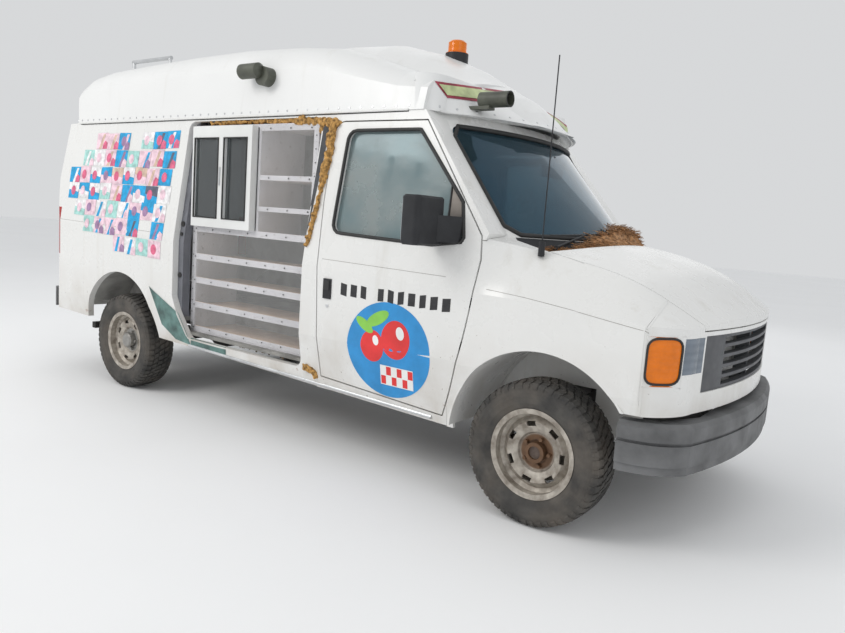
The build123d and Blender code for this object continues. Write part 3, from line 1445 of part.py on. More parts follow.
with BuildPart() as dashboard:
    with BuildSketch(Plane.XZ.offset(-DASH_HALF)):
        with BuildLine():
            Polyline(
                (FIREWALL_X - FIT, COWL_Z - 15 - 20),
                (1230, COWL_Z - 15 - 35),
                (1165, 1180),
                (1205, 960),
                (1260, 900),
                (FIREWALL_X - FIT, 900),
                close=True,
            )
        make_face()
        fillet(vertices().sort_by(Axis.X)[0:3], radius=25)
    extrude(amount=2 * DASH_HALF)
    add(
        block(
            (ENGINE_REAR_X - 70, -ENGINE_HALF - 60, 0),
            (NOSE_X, ENGINE_HALF + 60, ENGINE_TOP_Z + 61),
        ),
        mode=Mode.SUBTRACT,
    )
save(dashboard.part, "dashboard")

with BuildPart() as wheel_ring:
    with BuildSketch(Plane.XZ):
        with Locations((185, 0)):
            RegularPolygon(15, 8)
    revolve(axis=Axis.Z)

with BuildPart() as steering_wheel:
    with Locations(WHEEL_PLANE.location):
        add(wheel_ring.part)
        Cylinder(48, 40)
        for turn in (0, 120, 240):
            with Locations(Location((0, 0, 0), (0, 0, turn))):
                Box(186, 26, 12, align=(Align.MIN, Align.CENTER, Align.CENTER))
        Cylinder(26, 320, align=(Align.CENTER, Align.CENTER, Align.MAX))
    add(dashboard.part, mode=Mode.SUBTRACT)
    add(block((FIREWALL_X - 100, 0, 0), (NOSE_X, 1000, 2000)), mode=Mode.SUBTRACT)
save(steering_wheel.part, "steering_wheel")


# Display cabinet in the side opening, its clear sheets, and the sliding service window


def across(x0, x1, z, thick, deep=CABINET_DEPTH):
    """A board of the cabinet from x0 to x1 with its top at z, from the face back by deep."""
    return block((x0, CABINET_FACE_Y, z - thick), (x1, CABINET_FACE_Y + deep, z))


with BuildPart() as display_cabinet:
    rear_x = CABINET_REAR_X
    front_x = CABINET_FRONT_X
    for x in (rear_x, front_x - BOARD):
        add(block((x, CABINET_FACE_Y, CABINET_LOW_Z), (x + BOARD, BACK_Y, CABINET_TOP_Z)))
    add(across(rear_x, front_x, CABINET_TOP_Z, BOARD))
    add(across(rear_x, front_x, CABINET_LOW_Z + BOARD, BOARD))
    for z in SHELF_ZS:
        add(across(rear_x, front_x, z, BOARD))
        add(across(rear_x, front_x, z + STRIP / 2, STRIP, FACE))
    add(across(rear_x, front_x, CABINET_LOW_Z + STRIP, STRIP, FACE))
    add(across(DIVIDER_X, front_x, CABINET_TOP_Z, STRIP, FACE))
    for z in SHORT_SHELF_ZS:
        add(across(DIVIDER_X, front_x, z, BOARD))
        add(across(DIVIDER_X, front_x, z + STRIP / 4, STRIP / 2, FACE))
    add(block((DIVIDER_X, CABINET_FACE_Y, SHELF_ZS[-1]), (DIVIDER_X + BOARD, BACK_Y, CABINET_TOP_Z)))
    for x in (rear_x, front_x - STRIP):
        add(block((x, CABINET_FACE_Y, CABINET_LOW_Z), (x + STRIP, CABINET_FACE_Y + FACE, CABINET_TOP_Z)))
save(display_cabinet.part, "display_cabinet")

with BuildPart() as cabinet_sheet:
    with BuildSketch(Plane.XZ.offset(-SHEET_Y)):
        with BuildLine():
            Polyline(
                (CABINET_REAR_X, CABINET_LOW_Z + 4),
                (CABINET_FRONT_X, CABINET_LOW_Z + 4),
                (CABINET_FRONT_X, CABINET_TOP_Z - 4),
                (DIVIDER_X + 2, CABINET_TOP_Z - 4),
                (DIVIDER_X + 2, WINDOW_LOW_Z - 4),
                (CABINET_REAR_X, WINDOW_LOW_Z - 4),
                close=True,
            )
        make_face()
    extrude(amount=4)
save(cabinet_sheet.part, "cabinet_sheet")

with BuildPart() as service_window:
    add(
        block(
            (WINDOW_REAR_X, CABINET_FACE_Y - WINDOW_PROUD, WINDOW_LOW_Z),
            (WINDOW_FRONT_X, CABINET_FACE_Y - FIT, WINDOW_TOP_Z),
        )
    )
    for x0, x1 in LITES:
        add(block((x0, -1000, WINDOW_SILL_Z), (x1, 0, WINDOW_HEAD_Z)), mode=Mode.SUBTRACT)
save(service_window.part, "service_window")

with BuildPart() as service_glass:
    for lite, (x0, x1) in enumerate(LITES):
        y = CABINET_FACE_Y - WINDOW_PROUD + 14 + 12 * lite
        add(
            block((x0 + FIT, y, WINDOW_SILL_Z + FIT), (x1 - FIT, y + GLASS, WINDOW_HEAD_Z - FIT))
        )
save(service_glass.part, "service_glass")


# On the roof: beacon, two speakers and a bar; and the antenna on the fender

roof_outer = roof_form(0)
with BuildPart() as dome:
    add(rod(BEACON_X, 0, (2510 + BEACON_TOP_Z) / 2, 60, BEACON_TOP_Z - 2510, "Z"))
    chamfer(dome.edges().sort_by(Axis.Z)[-1], length=12)

with BuildPart() as beacon:
    add(rod(BEACON_X, 0, 2475, 74, 80, "Z"))
    add(dome.part)
    add(roof_outer, mode=Mode.SUBTRACT)
save(beacon.part, "beacon")

with BuildPart() as capsule:
    add(rod(-260, -945, 2268, 46, 200, "X"))
    chamfer(capsule.edges(), length=22)

with BuildPart() as roof_speakers:
    add(capsule.part)
    add(rod(-170, -890, 2238, 58, 90, "Y"))
    add(rod(1320, -600, 2092, 42, 180, "X"))
    add(rod(1320, -600, 2092, 36, 181, "X"), mode=Mode.SUBTRACT)
    add(rod(1270, -600, 2092, 36, 20, "X"))
    add(block((1120, -630, 2040), (1300, -570, 2058)))
    add(roof_outer, mode=Mode.SUBTRACT)
save(roof_speakers.part, "roof_speakers")

with BuildPart() as roof_bar:
    add(rod(-1920, -560, BAR_Z, BAR_R, 520, "X"))
    for x in (-2165, -1675):
        add(rod(x, -560, BAR_Z - 90, BAR_R, 180, "Z"))
    add(roof_outer, mode=Mode.SUBTRACT)
save(roof_bar.part, "roof_bar")

with BuildPart() as antenna:
    add(rod(ANTENNA_X, ANTENNA_Y, 1330, 16, 70, "Z"))
    add(rod(ANTENNA_X, ANTENNA_Y, 1790, 3, 880, "Z"))
    add(nose_outer, mode=Mode.SUBTRACT)
save(antenna.part, "antenna")

with BuildPart() as tail_lamp:
    add(cabin_form(0))
    add(cabin_form(40), mode=Mode.SUBTRACT)
    add(block(*TAIL_LAMP), mode=Mode.INTERSECT)
mirrored_pair(tail_lamp.part, "tail_lamp")
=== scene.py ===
import functools
import math
import random

import bmesh
import bpy
from mathutils import Matrix, Vector


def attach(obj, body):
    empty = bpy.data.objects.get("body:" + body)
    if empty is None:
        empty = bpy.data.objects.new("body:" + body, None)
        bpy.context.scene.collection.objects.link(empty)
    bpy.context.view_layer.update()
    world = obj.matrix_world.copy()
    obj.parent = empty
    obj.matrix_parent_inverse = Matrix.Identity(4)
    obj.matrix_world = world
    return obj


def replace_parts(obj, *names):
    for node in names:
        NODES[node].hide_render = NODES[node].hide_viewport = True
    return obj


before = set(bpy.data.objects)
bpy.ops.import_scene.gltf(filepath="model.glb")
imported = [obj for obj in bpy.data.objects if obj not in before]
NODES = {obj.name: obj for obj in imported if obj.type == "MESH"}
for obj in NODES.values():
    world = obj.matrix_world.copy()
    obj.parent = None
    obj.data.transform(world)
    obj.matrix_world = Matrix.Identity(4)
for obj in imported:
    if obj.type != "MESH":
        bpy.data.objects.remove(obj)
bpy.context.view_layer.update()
RNG = random.Random(7)

SIDES = ((-1, "right"), (1, "left"))
AXLE_Z = 0.357
FRONT_AXLE_X = 1.901
REAR_AXLE_X = -1.604

# Camera: its axes, place and lens were solved from the photograph

PHOTO_WIDTH, PHOTO_HEIGHT = 845, 633
FOCAL_PIXELS = 711.99
RIGHT = Vector((0.80162, 0.59351, 0.07184))
UP = Vector((-0.13556, 0.06342, 0.98874))
LOOK = Vector((-0.58227, 0.80233, -0.13130))
EYE = Vector((3.377, -3.955, 1.418))
cam_data = bpy.data.cameras.new("camera")
cam_data.lens = 30.33
cam_data.sensor_width = 36
camera = bpy.data.objects.new("camera", cam_data)
camera.matrix_world = Matrix.Translation(EYE) @ Matrix((RIGHT, UP, -LOOK)).transposed().to_4x4()
bpy.context.collection.objects.link(camera)
bpy.context.scene.camera = camera
bpy.context.scene.view_settings.view_transform = "Standard"


# Materials


class Look:
    """A Principled material built up from noise layers in the van's own coordinates."""

    def __init__(self, name, rough=0.5, metal=0.0, **numbers):
        self.mat = bpy.data.materials.new(name)
        self.mat.use_nodes = True
        self.tree = self.mat.node_tree
        self.shader = self.tree.nodes["Principled BSDF"]
        coords = self.node("TexCoord")
        self.at, self.normal = coords.outputs["Object"], coords.outputs["Normal"]
        self.fill(self.shader, {"Roughness": rough, "Metallic": metal, **numbers})
        self.xyz = None

    def put(self, socket, value):
        if isinstance(value, bpy.types.NodeSocket):
            self.tree.links.new(value, socket)
        elif isinstance(value, tuple) and len(value) == 3 and len(socket.default_value) == 4:
            socket.default_value = (*value, 1)
        else:
            socket.default_value = value

    def fill(self, node, values):
        for key, value in values.items():
            self.put(node.inputs[key.replace("_", " ")], value)

    def node(self, kind, **values):
        """A new node, with numbers or links for its inputs."""
        node = self.tree.nodes.new(f"ShaderNode{kind}")
        self.fill(node, values)
        return node

    def part(self, axis):
        """One coordinate, X, Y or Z, in metres."""
        if self.xyz is None:
            self.xyz = self.node("SeparateXYZ", Vector=self.at)
        return self.xyz.outputs[axis]

    def up(self):
        """How far a face looks upwards: 1 for a shelf's top, 0 for a wall."""
        return self.node("SeparateXYZ", Vector=self.normal).outputs["Z"]

    def noise(self, scale, detail=5, stretch=(1, 1, 1)):
        stretched = self.node("Mapping", Vector=self.at, Scale=stretch).outputs[0]
        return self.node("TexNoise", Vector=stretched, Scale=scale, Detail=detail, Roughness=0.55).outputs[0]

    def flutes(self, scale):
        """Level waves, one above the other."""
        node = self.node("TexWave", Vector=self.at, Scale=scale)
        node.bands_direction = "Z"
        return node.outputs["Fac"]

    def math(self, kind, a, b=0.5):
        node = self.node("Math")
        node.operation = kind
        self.put(node.inputs[0], a)
        self.put(node.inputs[1], b)
        return node.outputs[0]

    def times(self, a, b):
        return self.math("MULTIPLY", a, b)

    def span(self, value, low, high, to=(0, 1)):
        ends = {"From Min": low, "From Max": high, "To Min": to[0], "To Max": to[1]}
        return self.node("MapRange", Value=value, **ends).outputs[0]

    def mix(self, factor, a, b):
        node = self.node("Mix")
        node.data_type = "RGBA"
        self.put(node.inputs[0], factor)
        self.put(node.inputs[6], a)
        self.put(node.inputs[7], b)
        return node.outputs[2]

    def spots(self, scale, low, high, detail=5, stretch=(1, 1, 1)):
        """A noise with more contrast: 0 below low, 1 above high."""
        return self.span(self.noise(scale, detail, stretch), low, high)

    def gloss(self, scale, low, high):
        """A roughness that wanders between two values."""
        return self.span(self.noise(scale), 0.3, 0.7, (low, high))

    def colour(self, value):
        self.put(self.shader.inputs["Base Color"], value)

    def rough(self, value):
        self.put(self.shader.inputs["Roughness"], value)

    def bump(self, height, strength, distance):
        node = self.node("Bump", Strength=strength, Distance=distance, Height=height)
        self.tree.links.new(node.outputs[0], self.shader.inputs["Normal"])

    def radius(self, x):
        """Distance from the axis of the wheels at x."""
        dx = self.math("SUBTRACT", self.part("X"), x)
        dz = self.math("SUBTRACT", self.part("Z"), AXLE_Z)
        return self.math("SQRT", self.math("ADD", self.times(dx, dx), self.times(dz, dz)))


def scaled(colour, share):
    """A colour made darker or lighter."""
    return tuple(min(1, channel * share) for channel in colour)


def plain(name, colour, rough, spread=0.12, scale=6.0, grain=(120, 0.25, 0.001), metal=0.0, **numbers):
    """A surface of one colour with mottling, uneven gloss and a fine grain."""
    look = Look(name, rough, metal, **numbers)
    look.colour(look.mix(look.spots(scale, 0.35, 0.65), scaled(colour, 1 - spread), scaled(colour, 1 + spread)))
    look.rough(look.gloss(scale * 3, max(0.02, rough - 0.07), min(1, rough + 0.07)))
    if grain:
        look.bump(look.noise(grain[0]), grain[1], grain[2])
    return look.mat


def van_paint(name, base, streak=0.35, low_dust=0.75, gloss=0.22):
    """Sun-faded white paint: rain streaks, dust that thickens towards the sill, chips and rust spots."""
    look = Look(name, gloss, 0.0, Coat_Weight=0.12, Coat_Roughness=0.2)
    pale = look.mix(look.spots(1.3, 0.3, 0.7), base, scaled(base, 0.955))
    runs = look.spots(9, 0.56, 0.78, stretch=(1, 1, 0.05))
    pale = look.mix(look.times(runs, streak), pale, (0.50, 0.47, 0.40))
    height = look.span(look.part("Z"), 0.95, 0.38)
    dust = look.times(look.times(height, look.spots(3.5, 0.35, 0.75, 8)), low_dust)
    dusty = look.mix(dust, pale, (0.40, 0.34, 0.27))
    chips = look.times(look.spots(55, 0.715, 0.735, 3), look.span(look.part("Z"), 1.15, 0.5))
    chipped = look.mix(chips, dusty, (0.20, 0.15, 0.12))
    rust = look.times(look.spots(11, 0.66, 0.72, 6), look.span(look.part("Z"), 0.62, 0.45))
    look.colour(look.mix(rust, chipped, (0.22, 0.085, 0.03)))
    look.rough(look.math("ADD", look.gloss(7, gloss, gloss + 0.12), look.times(dust, 0.5)))
    look.bump(look.noise(2.2, 3), 0.05, 0.01)
    return look.mat


def shelf_paint():
    """White cabinet board: walls painted grey for their shade, shelf tops dusty and painted lighter and warmer
    as if sunlit, scuffed at its edges.
    """
    look = Look("cabinet_board", 0.5)
    wall = look.mix(look.spots(2.2, 0.35, 0.7), (0.70, 0.69, 0.72), (0.56, 0.55, 0.58))
    # Shelf tops: real dust, plus a lighter, warmer colour that is painted sunlight on the upward faces
    dust = look.mix(look.spots(9, 0.35, 0.7, 8), (0.84, 0.63, 0.47), (0.66, 0.47, 0.33))
    walls_and_sunlit_tops = look.mix(look.span(look.up(), 0.5, 0.9), wall, dust)
    scuffs = look.times(look.spots(34, 0.62, 0.72, 7), 0.6)
    look.colour(look.mix(scuffs, walls_and_sunlit_tops, (0.21, 0.18, 0.15)))
    look.rough(look.gloss(12, 0.4, 0.65))
    look.bump(look.noise(60), 0.25, 0.001)
    return look.mat


def rim_paint(name, x, hub):
    """Weathered steel rim, with brake dust in its well and a hub of its own colour."""
    look = Look(name, 0.45, 0.35)
    base = look.mix(look.spots(14, 0.35, 0.65), (0.42, 0.385, 0.335), (0.54, 0.50, 0.44))
    grime = look.times(look.spots(22, 0.38, 0.68, 6), 0.75)
    base = look.mix(grime, base, (0.15, 0.12, 0.095))
    mottled_hub = look.mix(look.noise(40), hub, scaled(hub, 0.45))
    look.colour(look.mix(look.span(look.radius(x), 0.095, 0.082), base, mottled_hub))
    look.rough(look.gloss(18, 0.35, 0.65))
    look.bump(look.noise(90), 0.35, 0.0015)
    return look.mat


def tyre_rubber():
    """Black rubber, worn grey, with dust."""
    look = Look("tyre_rubber", 0.82)
    worn = look.mix(look.spots(10, 0.35, 0.7), (0.035, 0.034, 0.033), (0.085, 0.080, 0.073))
    dust = look.times(look.spots(4, 0.45, 0.7, 8), 0.5)
    look.colour(look.mix(dust, worn, (0.19, 0.16, 0.13)))
    look.bump(look.noise(160), 0.4, 0.001)
    return look.mat


def lens(name, colour, metal, flutes):
    """A moulded lamp lens: fluted, a little cloudy."""
    look = Look(name, 0.12, metal, Coat_Weight=0.25, Coat_Roughness=0.04, Specular_IOR_Level=0.3)
    look.colour(look.mix(look.spots(16, 0.35, 0.65), colour, scaled(colour, 0.82)))
    look.bump(look.flutes(flutes), 0.35, 0.004)
    return look.mat


def acrylic(name, film):
    """Clear sheet that lets light through: a faint film of dust and a gloss."""
    look = Look(name, 0.12, 0.0, Alpha=0.13)
    smears = look.spots(7, 0.35, 0.75, 6, (1, 1, 0.3))
    look.colour(look.mix(smears, film, scaled(film, 0.8)))
    look.rough(look.span(smears, 0, 1, (0.05, 0.35)))
    return look.mat


def window(name, tint, dusty, clear=0.92, sheen=(1, 1, 1)):
    """Glass with a film of dust; sheen tints what it mirrors."""
    look = Look(name, 0.02, 0.0, IOR=1.5, Transmission_Weight=clear, Specular_Tint=(*sheen, 1))
    film = look.times(look.spots(3, 0.4, 0.75, 7), dusty)
    look.colour(look.mix(film, tint, (0.55, 0.55, 0.52)))
    look.rough(look.span(film, 0, 0.5, (0.02, 0.32)))
    return look.mat


# Key: name, colour, roughness, spread and scale of the mottling
PLAIN = {
    "rubber": ("seal_rubber", (0.022, 0.022, 0.022), 0.6, 0.2),
    "bumper": ("bumper_plastic", (0.125, 0.127, 0.130), 0.6, 0.30, 5),
    "grille": ("grille_plastic", (0.075, 0.078, 0.085), 0.5, 0.2),
    "dash": ("dash_plastic", (0.14, 0.135, 0.13), 0.6),
    "chassis": ("chassis_paint", (0.045, 0.043, 0.042), 0.7, 0.5, 9),
    "floor": ("floor_paint", (0.26, 0.255, 0.24), 0.6, 0.3),
    "frame": ("window_frame", (0.74, 0.75, 0.74), 0.35, 0.05, 3),
    # Grey paint of the side opening's jamb, darkened further as painted shade
    "post": ("jamb_paint", (0.15, 0.155, 0.175), 0.5, 0.15),
    "horn": ("horn_paint", (0.075, 0.080, 0.062), 0.5, 0.25, 12),
    "sign": ("sign_board", (0.50, 0.57, 0.30), 0.5, 0.2, 14),
    "sign_edge": ("sign_edge", (0.30, 0.035, 0.06), 0.5, 0.25, 14),
    "mark": ("black_vinyl", (0.02, 0.02, 0.022), 0.45, 0.3, 30),
    "disc": ("blue_vinyl", (0.02, 0.26, 0.60), 0.35, 0.12, 8),
    "disc_red": ("red_vinyl", (0.72, 0.03, 0.03), 0.35),
    "disc_green": ("green_vinyl", (0.25, 0.60, 0.08), 0.35),
    "disc_white": ("white_vinyl", (0.82, 0.83, 0.82), 0.35, 0.06),
    # Dark grey strips along the pressed creases: painted shade in the creases
    "crease": ("panel_crease", (0.36, 0.35, 0.33), 0.5, 0.1),
    "louvre": ("dusty_louvre", (0.13, 0.115, 0.10), 0.7, 0.5, 30),
    "shade": ("jamb_shade", (0.055, 0.058, 0.065), 0.7, 0.3, 12),
    "sail": ("door_corner_panel", (0.30, 0.265, 0.235), 0.6, 0.2),
    "patch": ("green_primer", (0.10, 0.19, 0.175), 0.55, 0.5, 8),
}
M = {key: plain(*row) for key, row in PLAIN.items()} | {
    "paint": van_paint("body_paint", (0.79, 0.79, 0.775)),
    "roof": van_paint("roof_gel", (0.80, 0.805, 0.80), streak=0.22, low_dust=0, gloss=0.30),
    "black": plain("black_plastic", (0.024, 0.025, 0.028), 0.48, 0.25, Specular_IOR_Level=0.3),
    "steel": plain("rusty_steel", (0.23, 0.13, 0.08), 0.7, 0.5, 12, metal=0.5),
    "iron": plain("cast_iron", (0.13, 0.10, 0.085), 0.75, 0.5, 14, metal=0.4),
    "metal": plain("bare_metal", (0.62, 0.63, 0.64), 0.33, metal=0.9),
    "mirror": plain("mirror_glass", (0.75, 0.77, 0.79), 0.03, 0.03, grain=None, metal=1.0),
    "seat": plain("seat_cloth", (0.10, 0.105, 0.12), 0.85, 0.3, 30, grain=(300, 0.6, 0.002)),
    "foam": plain("spray_foam", (0.44, 0.245, 0.075), 0.9, 0.6, 48, grain=(95, 1.0, 0.012)),
    "needle": plain("dry_needles", (0.36, 0.19, 0.085), 0.85, 0.55, 45, grain=None),
    "dirt": plain("sill_dirt", (0.20, 0.145, 0.10), 0.9, 0.55, 40, grain=(90, 0.8, 0.006)),
    "glass": window("door_glass", (0.34, 0.45, 0.47), dusty=0.7, clear=0.55, sheen=(0.8, 0.95, 1)),
    "shield": window("windshield_glass", (0.10, 0.20, 0.26), dusty=0.10, clear=0.86, sheen=(0.30, 0.62, 1.0)),
    "service": window("service_glass", (0.45, 0.49, 0.50), dusty=0.1),
    "sheet": acrylic("clear_sheet", (0.80, 0.80, 0.79)),
    "board": shelf_paint(),
    "headlamp": lens("headlamp_lens", (0.19, 0.225, 0.27), 0.5, 9),
    "amber": lens("amber_lens", (0.84, 0.20, 0.004), 0.0, 11),
    "red": lens("red_lens", (0.42, 0.015, 0.012), 0.0, 12),
    "tyre": tyre_rubber(),
    "rim_front": rim_paint("rim_front_paint", FRONT_AXLE_X, (0.20, 0.11, 0.06)),
    "rim_rear": rim_paint("rim_rear_paint", REAR_AXLE_X, (0.40, 0.39, 0.37)),
}
CARD_COLOURS = (
    (0.80, 0.79, 0.80), (0.006, 0.34, 0.66), (0.80, 0.58, 0.66), (0.68, 0.13, 0.24),
    (0.10, 0.11, 0.16), (0.36, 0.64, 0.60), (0.62, 0.46, 0.36), (0.33, 0.20, 0.35),
)
for place, colour in enumerate(CARD_COLOURS):
    M[f"card{place}"] = plain(f"card_print_{place}", colour, 0.5, 0.22, 25, grain=None)

# Each look, and how the names of its nodes start; the longest start that fits counts
NODE_LOOKS = {
    "paint": "body_side cab_front fender hood header_panel front_door rear_door",
    "roof": "roof_cap", "post": "side_posts", "shield": "windshield", "glass": "door_glass rear_glass",
    "service": "service_glass", "frame": "service_window", "sheet": "cabinet_sheet",
    "board": "display_cabinet", "black": "mirror cowl_panel antenna steering_wheel", "grille": "grille",
    "bumper": "front_bumper rear_bumper", "headlamp": "headlamp", "amber": "corner_lamp beacon",
    "red": "tail_lamp", "dash": "dashboard engine_cover", "seat": "seats", "floor": "floor_pan",
    "chassis": "chassis_frame front_axle rear_axle", "steel": "exhaust", "iron": "engine knuckle",
    "rim_front": "rim_front", "rim_rear": "rim_rear", "tyre": "tyre", "metal": "roof_bar",
    "horn": "roof_speakers",
}
STARTS = {start: look for look, starts in NODE_LOOKS.items() for start in starts.split()}
for name, obj in NODES.items():
    fitting = max((start for start in STARTS if name.startswith(start)), key=len)
    obj.data.materials.clear()
    obj.data.materials.append(M[STARTS[fitting]])


# Mesh helpers

BESIDE = 1.3  # Y of a ray's start beside the van
ABOVE_HOOD = 1.6  # Z of a ray's start above the hood


def hit(name, origin, direction):
    """Where a ray meets a CAD node: the point and the normal, or None."""
    found, point, normal, _ = NODES[name].ray_cast(Vector(origin), Vector(direction))
    return (point, normal) if found else None


def side_hit(name, x, z, side=-1):
    """Where a ray from beside the van meets a CAD node."""
    return hit(name, (x, side * BESIDE, z), (0, -side, 0))


def side_point(x, z, side=-1, lift=0.0, nodes=("front_door", "body_side", "cab_front", "fender")):
    """A point on the van's outer side, lifted off it."""
    word = "right" if side < 0 else "left"
    names = (name if name == "cab_front" else f"{name}_{word}" for name in nodes)
    points = [found[0] for found in (side_hit(name, x, z, side) for name in names) if found]
    if not points:
        return Vector((x, side, z))
    return max(points, key=lambda point: side * point.y) + Vector((0, side * lift, 0))


def pixel_hit(px, py, *nodes):
    """The nearest point, with its normal, of some CAD nodes that the photograph shows at a pixel."""
    across, down = (px - PHOTO_WIDTH / 2) / FOCAL_PIXELS, (py - PHOTO_HEIGHT / 2) / FOCAL_PIXELS
    ray = (LOOK + RIGHT * across - UP * down).normalized()
    found = [place for place in (hit(node, EYE, ray) for node in nodes) if place]
    return min(found, key=lambda place: (place[0] - EYE).length) if found else None


def mirrored(point):
    """The same point on the van's other side."""
    return Vector((point.x, -point.y, point.z))


def between(corners, u, v):
    """A point among four corners: u of the way across, v of the way down."""
    a, b, c, d = (Vector(corner) for corner in corners)
    return (a * (1 - u) + b * u) * (1 - v) + (d * (1 - u) + c * u) * v


def circle(centre, side, other, radius, count):
    """Points round a centre, in the plane of two directions."""
    turns = [2 * math.pi * step / count for step in range(count)]
    return [centre + (side * math.cos(turn) + other * math.sin(turn)) * radius for turn in turns]


class Piece:
    """Collects faces with materials, then becomes one object."""

    def __init__(self, name, body, *looks):
        self.name, self.body, self.looks = name, body, looks
        self.verts, self.faces, self.slots = [], [], []

    def face(self, points, look):
        start = len(self.verts)
        self.verts += [tuple(point) for point in points]
        self.faces.append(tuple(range(start, start + len(points))))
        self.slots.append(self.looks.index(look))

    def weave(self, rows, look, closed=False, flip=False):
        """Quads between rows of points; a missing point leaves a hole, and closed rows join their ends."""
        for near, far in zip(rows, rows[1:]):
            for i in range(len(near) if closed else len(near) - 1):
                j = (i + 1) % len(near)
                a, b, c, d = near[i], near[j], far[j], far[i]
                if a and b and c and d:
                    self.face((a, d, c, b) if flip else (a, b, c, d), look)

    def tube(self, a, b, radius, look, sides=8, end_radius=None):
        """A tapered rod between two points, with its ends closed."""
        a, b = Vector(a), Vector(b)
        along = (b - a).normalized()
        side = along.orthogonal().normalized()
        other = along.cross(side)
        ends = ((a, radius), (b, radius if end_radius is None else end_radius))
        rings = [circle(centre, side, other, r, sides) for centre, r in ends]
        self.weave(rings, look, closed=True)
        self.face(rings[0][::-1], look)
        self.face(rings[1], look)

    def dome(self, centre, normal, radius, look, sides=8):
        """A rivet or bolt head."""
        normal = Vector(normal).normalized()
        side = normal.orthogonal().normalized()
        other = normal.cross(side)
        rings = []
        for out, up in ((1.0, 0.0), (0.8, 0.38)):
            rings.append(circle(Vector(centre) + normal * radius * up, side, other, radius * out, sides))
        self.weave(rings, look, closed=True)
        self.face(rings[1], look)

    def box(self, low, high, look):
        """A box between any two opposite corners."""
        xs, ys, zs = (sorted(pair) for pair in zip(low, high))
        p = [(x, y, z) for x in xs for y in ys for z in zs]
        for corners in ((0, 1, 3, 2), (4, 6, 7, 5), (0, 4, 5, 1), (2, 3, 7, 6), (0, 2, 6, 4), (1, 5, 7, 3)):
            self.face([p[i] for i in corners], look)

    def make(self, bevel=0.0):
        """Turns the faces into an object."""
        mesh = bpy.data.meshes.new(self.name)
        mesh.from_pydata(self.verts, [], self.faces)
        for look in self.looks:
            mesh.materials.append(M[look])
        for polygon, place in zip(mesh.polygons, self.slots):
            polygon.material_index = place
            polygon.use_smooth = False
        mesh.validate()
        obj = bpy.data.objects.new(self.name, mesh)
        bpy.context.collection.objects.link(obj)
        if bevel:
            merge = obj.modifiers.new("weld", "WELD")
            merge.merge_threshold = 0.0001
            edge = obj.modifiers.new("bevel", "BEVEL")
            edge.width = bevel
            edge.segments = 2
        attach(obj, self.body)
        return obj


def pipe(name, points, radius, look, body, closed=False):
    """A round strip along points."""
    curve = bpy.data.curves.new(name, "CURVE")
    curve.dimensions = "3D"
    curve.bevel_depth = radius
    curve.bevel_resolution = 2
    spline = curve.splines.new("POLY")
    spline.points.add(len(points) - 1)
    for knot, point in zip(spline.points, points):
        knot.co = (*point, 1)
    spline.use_cyclic_u = closed
    curve.materials.append(M[look])
    obj = bpy.data.objects.new(name, curve)
    bpy.context.collection.objects.link(obj)
    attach(obj, body)


def seal(name, points, radius, body="body"):
    """A closed rubber strip."""
    pipe(name, points, radius, "rubber", body, closed=True)


def pixel_patch(name, nodes, corners, look, lift, steps, mirror=False):
    """A thin sticker between four pixel corners, laid on the nodes point by point."""
    piece = Piece(name, "body", look)
    across, down = steps
    rows = []
    for j in range(down + 1):
        row = []
        for i in range(across + 1):
            px, py = between(corners, i / across, j / down)
            found = pixel_hit(px, py, *nodes)
            point = found[0] + found[1] * lift if found else None
            row.append(mirrored(point) if point and mirror else point)
        rows.append(row)
    piece.weave(rows if mirror else rows[::-1], look)
    if piece.faces:
        piece.make()


# Tyres with tread

# Half of the carcass's section, outside and inside: across from the middle, and radius
OUTER_HALF = (
    (0.070, 0.2036), (0.084, 0.2040), (0.085, 0.2150), (0.0960, 0.226), (0.1100, 0.250), (0.1172, 0.279),
    (0.1165, 0.300), (0.1105, 0.322), (0.1060, 0.334), (0.098, 0.3435), (0.080, 0.3465), (0.040, 0.3485),
)
INNER_HALF = ((0.088, 0.26), (0.092, 0.30), (0.07, 0.335))
SECTION = (
    *((-u, r) for u, r in OUTER_HALF), (0.0, 0.349), *OUTER_HALF[::-1],
    *INNER_HALF, *((-u, r) for u, r in INNER_HALF[::-1]),
)
CARCASS_STEPS = 88
BLOCKS = 52


def tyre_piece(name, body, x, y):
    """A lathe-turned carcass with five rows of tread blocks and two rows of shoulder lugs."""
    piece = Piece(f"tread_{name}", body, "tyre")

    def at(u, r, turn):
        return (x + r * math.cos(turn), y + u, AXLE_Z + r * math.sin(turn))

    turns = [2 * math.pi * step / CARCASS_STEPS for step in range(CARCASS_STEPS)]
    rings = [[at(u, r, turn) for u, r in SECTION] for turn in turns]
    piece.weave(rings + rings[:1], "tyre", closed=True)

    def lug(u0, u1, r0, r1, mid, wide, skew, low=0.343):
        """One block, turned a little by skew, its foot at the radius low."""
        corners = ((u0, -skew, -1, r0), (u0, -skew, 1, r0), (u1, skew, 1, r1), (u1, skew, -1, r1))
        up = [at(u, r, mid + grow + end * wide / 2) for u, grow, end, r in corners]
        down = [at(u, low, mid + grow + end * wide / 2) for u, grow, end, _ in corners]
        piece.face(up, "tyre")
        piece.weave((down, up), "tyre", closed=True)

    pitch = 2 * math.pi / BLOCKS
    for n in range(BLOCKS):
        t = n * pitch
        edge = pitch * (0.62 if n % 2 else 0.45)
        lug(-0.019, 0.019, 0.3568, 0.3568, t, pitch * 0.74, pitch * 0.16)
        for side in (-1, 1):
            lug(side * 0.025, side * 0.057, 0.3566, 0.3556, t + pitch * 0.42, pitch * 0.72, side * pitch * 0.18)
            lug(side * 0.063, side * 0.1010, 0.3552, 0.3475, t + pitch * 0.1, pitch * 0.70, 0, 0.336)
            lug(side * 0.1005, side * 0.1135, 0.3475, 0.3280, t + pitch * 0.1, edge, 0, 0.318)
    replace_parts(piece.make(), name)


